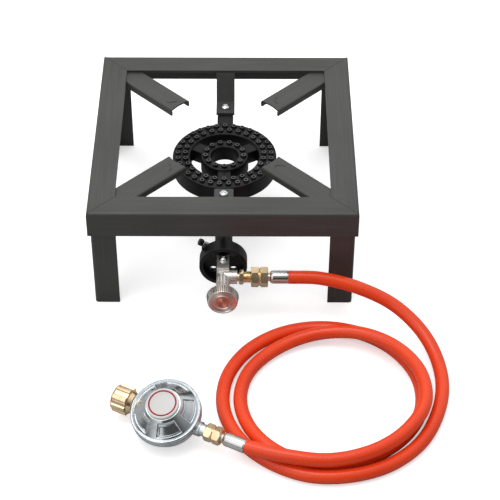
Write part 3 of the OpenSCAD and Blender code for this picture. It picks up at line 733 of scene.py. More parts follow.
def turned(
    bm: bmesh.types.BMesh,
    profile: Profile,
    place: Matrix,
    sides: int = 96,
    shape: Shape | None = None,
    loop: bool = False,
) -> None:
    """Turns a profile round the local Z axis.

    Args:
        bm: The mesh to add to, in mm.
        profile: (radius, height) points.
        place: Takes the local frame to the part's frame.
        sides: Segments round the axis.
        shape: Changes a point's radius and height by its angle.
        loop: True if the profile closes on itself.
    """
    rings = []
    for r, z in profile:
        if r < POLE:
            rings.append([place @ Vector((0, 0, z))])
            continue
        ring = []
        for k in range(sides):
            angle = TAU * k / sides
            at_r, at_z = shape(angle, r, z) if shape else (r, z)
            ring.append(place @ Vector((at_r * math.cos(angle), at_r * math.sin(angle), at_z)))
        rings.append(ring)
    skin_rings(bm, rings, loop)


def block(
    bm: bmesh.types.BMesh, low: Vector, high: Vector, edge: float, place: Matrix | None = None
) -> None:
    """Adds a box with rounded edges.

    Args:
        bm: The mesh to add to, in mm.
        low: Lowest corner.
        high: Highest corner.
        edge: Radius of its edges.
        place: Takes the local frame to the part's frame.
    """
    box = bmesh.new()
    size = high - low
    bmesh.ops.create_cube(box, size=1.0)
    bmesh.ops.scale(box, vec=size, verts=box.verts)
    bmesh.ops.translate(box, vec=low + size / 2, verts=box.verts)
    bmesh.ops.bevel(box, geom=box.edges[:], offset=edge, segments=3, profile=0.5, affect="EDGES")
    if place is not None:
        box.transform(place)
    keep = bpy.data.meshes.new("block")
    box.to_mesh(keep)
    box.free()
    bm.from_mesh(keep)
    bpy.data.meshes.remove(keep)


def pipe(
    bm: bmesh.types.BMesh, path: list[Vector], outer: float, inner: float, sides: int = 48
) -> None:
    """Adds an open-ended tube along a path in the plane X = 0.

    Args:
        bm: The mesh to add to, in mm.
        path: The tube's centre line.
        outer: Outer radius.
        inner: Bore radius.
        sides: Segments round the tube.
    """
    across = Vector((1, 0, 0))
    rings: dict[float, list[list[Vector]]] = {outer: [], inner: []}
    for i, point in enumerate(path):
        ahead = (path[min(i + 1, len(path) - 1)] - path[max(i - 1, 0)]).normalized()
        up = ahead.cross(across)
        angles = [TAU * k / sides for k in range(sides)]
        spokes = [math.cos(angle) * across + math.sin(angle) * up for angle in angles]
        for radius, made in rings.items():
            made.append([point + radius * spoke for spoke in spokes])
    skin_rings(bm, rings[outer] + rings[inner][::-1], loop=True)


def cross_depth(angle: float, r: float, reach: float, arm: float, depth: float) -> float:
    """How deep a cross recess is at a point of a screw's head.

    Args:
        angle: The point's angle from one arm.
        r: Its radius, in mm.
        reach: Length of the arms.
        arm: Half the width of an arm.
        depth: Depth in the middle.

    Returns:
        The depth, in mm.
    """
    off = min(abs(math.sin(angle)), abs(math.cos(angle))) * r
    return depth * max(0.0, 1 - r / reach) ** 0.5 if off < arm else 0.0


def hexagon(flats: float) -> Shape:
    """A shape that keeps a turned piece within a hexagon.

    Args:
        flats: The hexagon's width across flats, in mm.

    Returns:
        The shape.
    """

    def cut(angle: float, r: float, z: float) -> tuple[float, float]:
        """Brings a point in to the nearest flat."""
        off = (angle + math.pi / 6) % (math.pi / 3) - math.pi / 6
        return min(r, flats / 2 / math.cos(off)), z

    return cut


# ---- Geometry node trees -------------------------------------------------------------


class Trees:
    """The geometry node trees, each built once."""

    _built: dict[str, bpy.types.NodeTree] = {}

    @classmethod
    def _start(
        cls, name: str, sockets: dict[str, tuple[str, Any]]
    ) -> tuple[NodeTree, bpy.types.Node]:
        """Starts a tree with a Geometry and a Material input beside the given ones.

        Args:
            name: The tree's name.
            sockets: Type and default of each further input.

        Returns:
            The tree and its group input.
        """
        build = NodeTree(bpy.data.node_groups.new(name, "GeometryNodeTree"))
        build.socket("Geometry", "Geometry")
        for label, (kind, value) in sockets.items():
            build.socket(label, kind, value)
        build.socket("Material", "Material")
        build.socket("Geometry", "Geometry", out=True)
        cls._built[name] = build.tree
        return build, build.add("NodeGroupInput")

    @staticmethod
    def _end(
        build: NodeTree, start: bpy.types.Node, shape: bpy.types.NodeSocket
    ) -> bpy.types.NodeTree:
        """Ends a tree in Realize Instances and Set Material.

        Args:
            build: The tree.
            start: Its group input.
            shape: What it has made.

        Returns:
            The finished tree.
        """
        real = build.add("GeometryNodeRealizeInstances", {0: shape})
        dressed = build.add(
            "GeometryNodeSetMaterial", {0: real.outputs[0], "Material": start.outputs["Material"]}
        )
        build.add("NodeGroupOutput", {"Geometry": dressed.outputs[0]})
        return build.tree

    @classmethod
    def ring_of_copies(cls) -> bpy.types.NodeTree:
        """Copies of the piece in a ring round Z.

        Returns:
            A tree with inputs Count, Radius, Start and Height.
        """
        if "ring_of_copies" in cls._built:
            return cls._built["ring_of_copies"]
        build, start = cls._start(
            "ring_of_copies",
            {
                "Count": ("Int", 12),
                "Radius": ("Float", 0.05),
                "Start": ("Float", 0.0),
                "Height": ("Float", 0.0),
            },
        )
        ring = build.add(
            "GeometryNodeMeshCircle",
            {"Vertices": start.outputs["Count"], "Radius": start.outputs["Radius"]},
        )
        turn = build.add("ShaderNodeCombineXYZ", {2: start.outputs["Start"]})
        lift = build.add("ShaderNodeCombineXYZ", {2: start.outputs["Height"]})
        placed = build.add(
            "GeometryNodeTransform",
            {
                "Geometry": ring.outputs[0],
                "Translation": lift.outputs[0],
                "Rotation": turn.outputs[0],
            },
        )
        copies = build.add(
            "GeometryNodeInstanceOnPoints",
            {"Points": placed.outputs[0], "Instance": start.outputs["Geometry"]},
        )
        return cls._end(build, start, copies.outputs[0])

    @classmethod
    def row_of_copies(cls) -> bpy.types.NodeTree:
        """Copies of the piece in a straight row.

        Returns:
            A tree with inputs Count, First and Step.
        """
        if "row_of_copies" in cls._built:
            return cls._built["row_of_copies"]
        build, start = cls._start(
            "row_of_copies",
            {"Count": ("Int", 2), "First": ("Vector", (0, 0, 0)), "Step": ("Vector", (0, 0, 0))},
        )
        row = build.add(
            "GeometryNodeMeshLine",
            {
                "Count": start.outputs["Count"],
                "Start Location": start.outputs["First"],
                "Offset": start.outputs["Step"],
            },
        )
        copies = build.add(
            "GeometryNodeInstanceOnPoints",
            {"Points": row.outputs[0], "Instance": start.outputs["Geometry"]},
        )
        return cls._end(build, start, copies.outputs[0])

    @classmethod
    def wire_coil(cls) -> bpy.types.NodeTree:
        """A coil of round wire up its own Z axis.

        Returns:
            A tree with inputs Turns, Radius, Length, Wire, Place and Turn.
        """
        if "wire_coil" in cls._built:
            return cls._built["wire_coil"]
        build, start = cls._start(
            "wire_coil",
            {
                "Turns": ("Float", 5.0),
                "Radius": ("Float", 0.003),
                "Length": ("Float", 0.01),
                "Wire": ("Float", 0.0005),
                "Place": ("Vector", (0, 0, 0)),
                "Turn": ("Rotation", None),
            },
        )
        spiral = build.add(
            "GeometryNodeCurveSpiral",
            {
                "Resolution": 24,
                "Rotations": start.outputs["Turns"],
                "Start Radius": start.outputs["Radius"],
                "End Radius": start.outputs["Radius"],
                "Height": start.outputs["Length"],
            },
        )
        round_wire = build.add(
            "GeometryNodeCurvePrimitiveCircle",
            {"Resolution": 10, "Radius": start.outputs["Wire"]},
        )
        wire = build.add(
            "GeometryNodeCurveToMesh",
            {"Curve": spiral.outputs[0], "Profile Curve": round_wire.outputs[0], "Fill Caps": True},
        )
        placed = build.add(
            "GeometryNodeTransform",
            {
                "Geometry": wire.outputs[0],
                "Translation": start.outputs["Place"],
                "Rotation": start.outputs["Turn"],
            },
        )
        return cls._end(build, start, placed.outputs[0])

    @classmethod
    def hose_sweep(cls) -> bpy.types.NodeTree:
        """A tube along the piece's own line.

        It stores around, a unit vector, and along, in metres, for the braid.

        Returns:
            A tree with inputs Radius, Step and Sides.
        """
        if "hose_sweep" in cls._built:
            return cls._built["hose_sweep"]
        build, start = cls._start(
            "hose_sweep",
            {"Radius": ("Float", 0.0075), "Step": ("Float", 0.003), "Sides": ("Int", 32)},
        )
        line = build.add("GeometryNodeMeshToCurve", {0: start.outputs["Geometry"]})
        even = build.add(
            "GeometryNodeResampleCurve",
            {"Curve": line.outputs[0], "Length": start.outputs["Step"]},
            mode="LENGTH",
        )
        travelled = build.add("GeometryNodeSplineParameter")
        measured = build.add(
            "GeometryNodeStoreNamedAttribute",
            {"Geometry": even.outputs[0], "Name": "along", "Value": travelled.outputs["Length"]},
            data_type="FLOAT",
        )
        circle = build.add(
            "GeometryNodeCurvePrimitiveCircle",
            {"Resolution": start.outputs["Sides"], "Radius": start.outputs["Radius"]},
        )
        here = build.add("GeometryNodeInputPosition")
        outward = build.add("ShaderNodeVectorMath", {0: here.outputs[0]}, operation="NORMALIZE")
        marked = build.add(
            "GeometryNodeStoreNamedAttribute",
            {"Geometry": circle.outputs[0], "Name": "around", "Value": outward.outputs[0]},
            data_type="FLOAT_VECTOR",
        )
        tube = build.add(
            "GeometryNodeCurveToMesh",
            {"Curve": measured.outputs[0], "Profile Curve": marked.outputs[0], "Fill Caps": True},
        )
        return cls._end(build, start, tube.outputs[0])


def grow(piece: bpy.types.Object, tree: bpy.types.NodeTree, **values: Any) -> None:
    """Runs a geometry node tree on a piece and keeps the result as its plain mesh.

    Args:
        piece: The piece, whose mesh is the tree's Geometry.
        tree: The tree.
        **values: The tree's named inputs; the material is the piece's own.
    """
    values = {"Material": piece.data.materials[0], **values}
    modifier = piece.modifiers.new(tree.name, "NODES")
    modifier.node_group = tree
    for item in tree.interface.items_tree:
        if item.item_type == "SOCKET" and item.in_out == "INPUT" and item.name in values:
            modifier[item.identifier] = values[item.name]
    graph = bpy.context.evaluated_depsgraph_get()
    grown = bpy.data.meshes.new_from_object(piece.evaluated_get(graph))
    piece.modifiers.clear()
    piece.data = grown
    grown.shade_smooth()
    grown.set_sharp_from_angle(angle=SHARP)


# ---- Settling pieces on bodies -------------------------------------------------------


def settle(piece: bpy.types.Object, body: Body, slot: str, *nodes: str) -> None:
    """Rides a piece on its body and hides the nodes it stands for.

    Args:
        piece: The finished piece.
        body: What it moves with.
        slot: The record's material slot; not used.
        *nodes: CAD nodes that it replaces.
    """
    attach(piece, body.value)
    if nodes:
        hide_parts(*nodes)
    log.info("%s: %d faces on %s", piece.name, len(piece.data.polygons), body.value)


def dress(frame: dict[str, Any], finish: Finish, *nodes: str) -> None:
    """Gives CAD nodes a finish, and keeps their shape.

    Args:
        finish: Their surface.
        *nodes: The nodes.
    """
    for node in nodes:
        shown = frame["nodes"][node]
        for place in shown.material_slots:
            place.material = finish.material()
        log.info("%s keeps its shape, in %s", node, finish.name)


def low_high(node: str) -> tuple[Vector, Vector]:
    """A CAD node's lowest and highest corners, in mm."""
    low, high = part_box(node)
    return low / MM, high / MM


def valve_axis_z() -> float:
    """The height of the axis that the valve, the shutter and the mixing tube share, in mm."""
    low, high = low_high("valve_knob")
    return (low.z + high.z) / 2


def axis_frame(origin: Vector, along: Vector) -> Matrix:
    """A frame with its Z axis along a direction and its X axis level.

    Args:
        origin: Where it stands, in mm.
        along: The direction.

    Returns:
        The frame.
    """
    z = along.normalized()
    x = Vector((0, 0, 1)).cross(z)
    x = x.normalized() if x.length > POLE else Vector((1, 0, 0))
    made = Matrix((x, z.cross(x), z)).transposed().to_4x4()
    made.translation = origin
    return made


# ---- The stand -----------------------------------------------------------------------


@dataclass
class Stand:
    """The welded angle-iron frame, its pot supports and the brackets' fasteners."""

    frame: dict[str, Any]
    corners: tuple[str, ...] = ("front_left", "front_right", "rear_right", "rear_left")
    rail_w: float = 30.0
    head_d: float = 10.5
    head_h: float = 3.4
    recess: float = 5.4
    recess_depth: float = 1.5
    arm: float = 0.62
    screw_d: float = 6.0
    seam: tuple[float, float] = (0.35, 0.06)
    bracket_tone: float = 0.75

    def build(self) -> None:
        """Dresses the sheet metal and makes the screws."""
        sheet = [
            (POWDER_COAT, "rail", ("front", "rear")),
            (self._drawn("side", 0, 90), "rail", ("left", "right")),
            (self._drawn("upright", 90, 0), "leg", self.corners),
            (self._drawn("bracket", 0, 90, self.bracket_tone), "burner_bracket", ("front", "rear")),
            (self._drawn("rising", 0, 45), "pot_support", self.corners[::2]),
            (self._drawn("falling", 0, -45), "pot_support", self.corners[1::2]),
        ]
        for finish, part, ends in sheet:
            dress(self.frame, finish, *(f"{part}_{end}" for end in ends))
        dress(self.frame, ZINC_PLATE, "bracket_washers", "bracket_nuts")
        self._seams()
        self._screws()

    @staticmethod
    def _drawn(name: str, pitch: float, heading: float, tone: float = 1.0) -> Finish:
        """The powder coat with its lines turned.

        Args:
            name: What is added to the finish's name.
            pitch: Turn about Y, in degrees.
            heading: Turn about Z, in degrees.
            tone: What its colour is multiplied by.

        Returns:
            The finish.
        """
        return replace(
            POWDER_COAT, name=f"powder_coat_{name}",
            turn=(0.0, math.radians(pitch), math.radians(heading)),
            colour=tuple(tone * c for c in POWDER_COAT.colour),
            shade=tuple(tone * c for c in POWDER_COAT.shade),
        )

    def _seams(self) -> None:
        """The mitred corners' seams across the rails' tops, each a thin ground-down bead, near
        black as painted shade in place of the groove along each mitre.
        """
        low, high = low_high("rail_front")
        out = (high.x - low.x) / 2
        inside, outside = (out - self.rail_w) * math.sqrt(2), (out - 0.8) * math.sqrt(2)
        half, proud = self.seam
        bm = bmesh.new()
        for k in range(len(self.corners)):
            place = Matrix.Rotation(math.radians(45 + 90 * k), 4, "Z")
            first = Vector((inside, -half, high.z - 0.3))
            block(bm, first, Vector((outside, half, high.z + proud)), 0.05, place)
        settle(new_piece("corner_seam_shadows", bm, SEAM_SHADOW), Body.STAND, "stand_paint")

    def _screws(self) -> None:
        """Two cross-recess pan head screws, as a row of copies."""
        low, high = low_high("bracket_screws")
        seat = high.z - self.head_h - 0.2
        r = self.head_d / 2
        bm = bmesh.new()
        profile = rounded([
            (0, seat + self.head_h, 0), (r * 0.55, seat + self.head_h, 1.6),
            (r, seat + self.head_h * 0.55, 1.6), (r, seat, 0.3),
            (self.screw_d / 2, seat, 0.2), (self.screw_d / 2, low.z + 0.6, 0.3),
            (self.screw_d / 2 - 0.6, low.z, 0.1), (0, low.z, 0),
        ])

        def cross(angle: float, at_r: float, at_z: float) -> tuple[float, float]:
            """Sinks a cross into the head, its arms on the diagonals.

            Args:
                angle: The point's angle round the axis.
                at_r: Its radius, in mm.
                at_z: Its height, in mm.

            Returns:
                Its new radius and height.
            """
            if at_z < seat + self.head_h * 0.5:
                return at_r, at_z
            return at_r, at_z - cross_depth(
                angle - math.pi / 4, at_r, self.recess / 2, self.arm, self.recess_depth
            )

        turned(bm, dense(profile, 0.35), Matrix(), 96, cross)
        screw = new_piece("bracket_screw_pair", bm, ZINC_PLATE, CROSS_SHARP)
        first = Vector((0, low.y + r, 0)) * MM
        step = Vector((0, high.y - low.y - 2 * r, 0)) * MM
        grow(screw, Trees.row_of_copies(), Count=2, First=first, Step=step)
        settle(screw, Body.STAND, "zinc_steel", "bracket_screws")


# ---- The burner ----------------------------------------------------------------------


@dataclass
class Burner:
    """The two-ring casting with its spokes, lugs, mixing tube and flame ports."""

    frame: dict[str, Any]
    outer: tuple[float, float] = (40.5, 61.0)
    inner: tuple[float, float] = (16.0, 28.0)
    ring_h: float = 20.0
    boss_h: float = 3.0
    boss_r: float = 3.5
    boss_top_r: float = 2.75
    port_r: float = 1.6
    port_sides: int = 20
    counts: tuple[int, ...] = (33, 27, 13)
    rows: tuple[float, ...] = (55.0, 46.3, 22.4)
    starts: tuple[float, ...] = (90.0, 270.0, 270.0)
    spoke_w: float = 16.0
    spoke_angles: tuple[float, ...] = (30.0, 150.0, 270.0)
    lug_w: float = 19.0
    lug_h: float = 8.0
    tube: tuple[float, float] = (10.0, 7.5)
    elbow_r: float = 16.0
    elbow_steps: int = 12
    lug_end: float = -83.0
    edge: float = 1.4
    deck: float = field(init=False)
    low: Vector = field(init=False)
    high: Vector = field(init=False)

    def __post_init__(self) -> None:
        """Takes the deck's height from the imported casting."""
        self.low, self.high = low_high("burner_casting")
        self.deck = self.high.z - self.boss_h

    def build(self) -> None:
        """Makes the casting and its three rows of flame ports."""
        self._rings()
        self._gas_way()
        for i, (count, radius, start) in enumerate(zip(self.counts, self.rows, self.starts)):
            self._port_row(f"flame_ports_row_{i + 1}", count, radius, start)

    def _rings(self) -> None:
        """Rings, spokes and lugs, with rounded edges."""
        bm = bmesh.new()
        foot = self.deck - self.ring_h
        for r_in, r_out in (self.outer, self.inner):
            corners = [
                (r_in, foot, self.edge), (r_out, foot, self.edge),
                (r_out, self.deck, self.edge * 1.4), (r_in, self.deck, self.edge * 1.4),
            ]
            turned(bm, rounded(corners, loop=True), Matrix(), 144, loop=True)
        half = self.spoke_w / 2
        for angle in self.spoke_angles:
            place = Matrix.Rotation(math.radians(angle), 4, "Z")
            low = Vector((self.inner[1] - 2, -half, foot + 1))
            high = Vector((self.outer[0] + 2, half, self.deck - 2))
            block(bm, low, high, self.edge, place)
        top = self.deck - 1
        for y0, y1 in ((self.outer[1] - 3, self.high.y), (self.lug_end, -self.outer[1] + 3)):
            low = Vector((-self.lug_w / 2, y0, top - self.lug_h))
            block(bm, low, Vector((self.lug_w / 2, y1, top)), 0.9)
        rings = new_piece("burner_rings", bm, ENAMELLED_IRON)
        settle(rings, Body.STAND, "burner_iron", "burner_casting")

    def _gas_way(self) -> None:
        """The level mixing tube, its quarter bend and the riser into the outer ring."""
        plate, axis_z = low_high("air_plate")[1], valve_axis_z()
        riser_y = -(self.outer[0] + self.outer[1]) / 2
        bend = Vector((0, riser_y - self.elbow_r, axis_z + self.elbow_r))
        level = (self.low.y, self.low.y + 3, plate.y + 2, bend.y - 8)
        path = [Vector((0, y, axis_z)) for y in level]
        for k in range(self.elbow_steps + 1):
            angle = math.radians(90 * k / self.elbow_steps)
            path.append(bend + self.elbow_r * Vector((0, math.sin(angle), -math.cos(angle))))
        path.append(Vector((0, riser_y, self.deck - self.ring_h + 1)))
        bm = bmesh.new()
        pipe(bm, path, *self.tube)
        settle(new_piece("mixing_tube", bm, ENAMELLED_IRON), Body.STAND, "burner_iron")

    def _port_row(self, name: str, count: int, radius: float, start: float) -> None:
        """A ring of raised flame ports, each a small cone with a round mouth ringed in lighter grey
        as a painted highlight.

        Args:
            name: The row's name.
            count: How many ports it has.
            radius: The row's radius, in mm.
            start: Angle of its first port, in degrees.
        """
        low, top = -0.6, self.boss_h
        profile = rounded([
            (0, 0.15, 0), (self.port_r, 0.15, 0.1), (self.port_r, top - 0.1, 0.35),
            (self.boss_top_r, top, 0.7), (self.boss_r - 0.2, 0.5, 0.5), (self.boss_r + 0.5, low, 0),
            (0, low, 0),
        ], steps=3)
        # A thin ring on each mouth, lighter than the enamel: a painted highlight.
        rim = rounded([
            (self.port_r - 0.05, top - 0.7, 0), (self.port_r - 0.05, top + 0.05, 0.2),
            (self.boss_top_r - 0.1, top + 0.05, 0.4), (self.boss_top_r, top - 0.5, 0),
        ], loop=True, steps=2)
        rim_highlights = name.replace("ports", "port_rim_highlights")
        for label, outline, finish in ((name, profile, ENAMELLED_IRON), (rim_highlights, rim, PORT_RIM_HIGHLIGHT)):
            bm = bmesh.new()
            turned(bm, outline, Matrix(), self.port_sides, loop=outline is rim)
            row = new_piece(label, bm, finish)
            grow(
                row, Trees.ring_of_copies(),
                Count=count, Radius=radius * MM, Start=math.radians(start), Height=self.deck * MM,
            )
            settle(row, Body.STAND, "burner_iron")


# ---- Air shutter ---------------------------------------------------------------------


@dataclass
class AirIntake:
    """The turning air shutter on the mixing tube, its lock screw, and the plate in it."""

    frame: dict[str, Any]
    collar_r: float = 13.0
    tube_r: float = 10.0
    lock_angle: float = 150.0
    lock_reach: float = 14.0
    lock_back: float = 10.0
    head_r: float = 4.2
    grooves: int = 14
    coil_turns: float = 5.0
    coil_r: float = 2.9
    wire_r: float = 0.5

    def build(self) -> None:
        """Makes the shutter's lock screw and spring, and dresses the shutter and the plate."""
        dress(self.frame, ENAMELLED_IRON, "air_plate")
        dress(self.frame, SHUTTER_BLACK, "air_shutter")
        self._lock()

    def _lock(self) -> None:
        """The lock screw's shank and head, and the spring under the head."""
        origin = Vector((0, low_high("air_shutter")[1].y - self.lock_back, valve_axis_z()))
        angle = math.radians(self.lock_angle)
        place = axis_frame(origin, Vector((math.cos(angle), 0, math.sin(angle))))
        shank, head = self.collar_r + self.lock_reach, self.head_r
        foot, seat = self.tube_r + 0.15, self.collar_r + 3.1
        bm = bmesh.new()
        turned(
            bm,
            rounded([
                (0, foot, 0), (1.6, foot, 0.2), (2.0, foot + 0.5, 0.2), (2.0, shank, 0.1),
                (1.4, shank + 0.2, 0), (0, shank + 0.2, 0),
            ]),
            place, 32,
        )
        stem = new_piece("lock_screw_shank", bm, ZINC_PLATE)
        settle(stem, Body.SHUTTER, "zinc_steel", "shutter_lock_screw")
        bm = bmesh.new()

        def knurl(at: float, r: float, z: float) -> tuple[float, float]:
            """Presses fine grooves into the head's side."""
            wave = 0.5 + 0.5 * math.cos(self.grooves * at)
            return (r - 0.25 * wave if r > head - 0.6 else r), z

        turned(
            bm,
            rounded([
                (0, shank, 0), (head - 0.4, shank, 0.4), (head, shank + 0.8, 0.3),
                (head, shank + 4.4, 0.5), (head - 1, shank + 5, 0.5), (0, shank + 5, 0),
            ]),
            place, 84, knurl,
        )
        settle(new_piece("lock_screw_head", bm, DARK_PLASTIC), Body.SHUTTER, "zinc_steel")
        spring = new_piece("lock_screw_spring", bmesh.new(), ZINC_PLATE)
        grow(
            spring, Trees.wire_coil(),
            Turns=self.coil_turns, Radius=self.coil_r * MM, Wire=self.wire_r * MM,
            Length=(shank - seat - 1.1) * MM,
            Place=place @ Vector((0, 0, seat + 0.5)) * MM, Turn=place.to_euler(),
        )
        settle(spring, Body.SHUTTER, "zinc_steel", "shutter_spring")


# ---- Valve ---------------------------------------------------------------------------


def softened(
    frame: dict[str, Any], node: str, name: str, finish: Finish, voxel: float, passes: int
) -> bpy.types.Object:
    """A copy of a CAD node with cast, rounded edges.

    Args:
        node: The CAD node.
        name: The new piece's name.
        finish: Its surface.
        voxel: Size of its facets, in mm.
        passes: Rounds of smoothing.

    Returns:
        The new piece.
    """
    bm = bmesh.new()
    bm.from_mesh(frame["nodes"][node].data)
    bmesh.ops.remove_doubles(bm, verts=bm.verts, dist=1e-6)
    mesh = bpy.data.meshes.new(name)
    bm.to_mesh(mesh)
    bm.free()
    made = bpy.data.objects.new(name, mesh)
    bpy.context.scene.collection.objects.link(made)
    remesh = made.modifiers.new("voxels", "REMESH")
    remesh.mode, remesh.voxel_size = "VOXEL", voxel * MM
    smooth = made.modifiers.new("smooth", "SMOOTH")
    smooth.factor, smooth.iterations = 0.5, passes
    graph = bpy.context.evaluated_depsgraph_get()
    made.data = bpy.data.meshes.new_from_object(made.evaluated_get(graph))
    made.modifiers.clear()
    made.data.materials.clear()
    made.data.materials.append(finish.material())
    made.data.shade_smooth()
    return made


def hex_nut(
    bm: bmesh.types.BMesh, x0: float, x1: float, flats: float, bore: float, place: Matrix,
    groove: float = 0.0, turn: float = 24.0,
) -> None:
    """Adds a chamfered hexagon nut along the local Z axis.

    Args:
        bm: The mesh to add to, in mm.
        x0: Where it starts.
        x1: Where it ends.
        flats: Width across flats.
        bore: Radius of its hole.
        place: The local frame.
        groove: Half the width of a V groove round its middle, or 0 for none.
        turn: How far the nut is turned about its axis, in degrees.
    """
    place = place @ Matrix.Rotation(math.radians(turn), 4, "Z")
    corner, mid = flats / math.sqrt(3), (x0 + x1) / 2
    wall: list[Triple] = [(corner - 1.3, x0, 0.2), (corner, x0 + 1.2, 0.4)]
    if groove:
        bottom = flats / 2 - 0.7
        wall += [(corner, mid - groove, 0.3), (bottom, mid, 0.3), (corner, mid + groove, 0.3)]
    wall += [(corner, x1 - 1.2, 0.4), (corner - 1.3, x1, 0.2), (bore, x1, 0.3), (bore, x0, 0.3)]
    outline = dense(rounded(wall, loop=True), 0.5, loop=True)
    turned(bm, outline, place, 144, hexagon(flats), loop=True)


def union_nut(
    name: str, x0: float, x1: float, flats: float, groove: float, place: Matrix, finish: Finish,
    node: str,
) -> None:
    """Makes a grooved union nut that turns on its hose tail, in place of its CAD node.

    Args:
        name: The piece's name.
        x0: Where it starts.
        x1: Where it ends, with the lip that holds the tail.
        flats: Width across flats.
        groove: Half the width of its groove.
        place: The local frame.
        finish: Its surface.
        node: The CAD node.
    """
    bm = bmesh.new()
    hex_nut(bm, x0, x1, flats, UNION_BORE, place, groove=groove)
    lip = [
        (TAIL_BORE, x1 - 3, 0), (UNION_BORE, x1 - 3, 0), (UNION_BORE, x1 - 0.3, 0),
        (TAIL_BORE, x1 - 0.3, 0.3),
    ]
    turned(bm, rounded(lip, loop=True), place, 48, loop=True)
    settle(new_piece(name, bm, finish), Body.STAND, "brass", node)


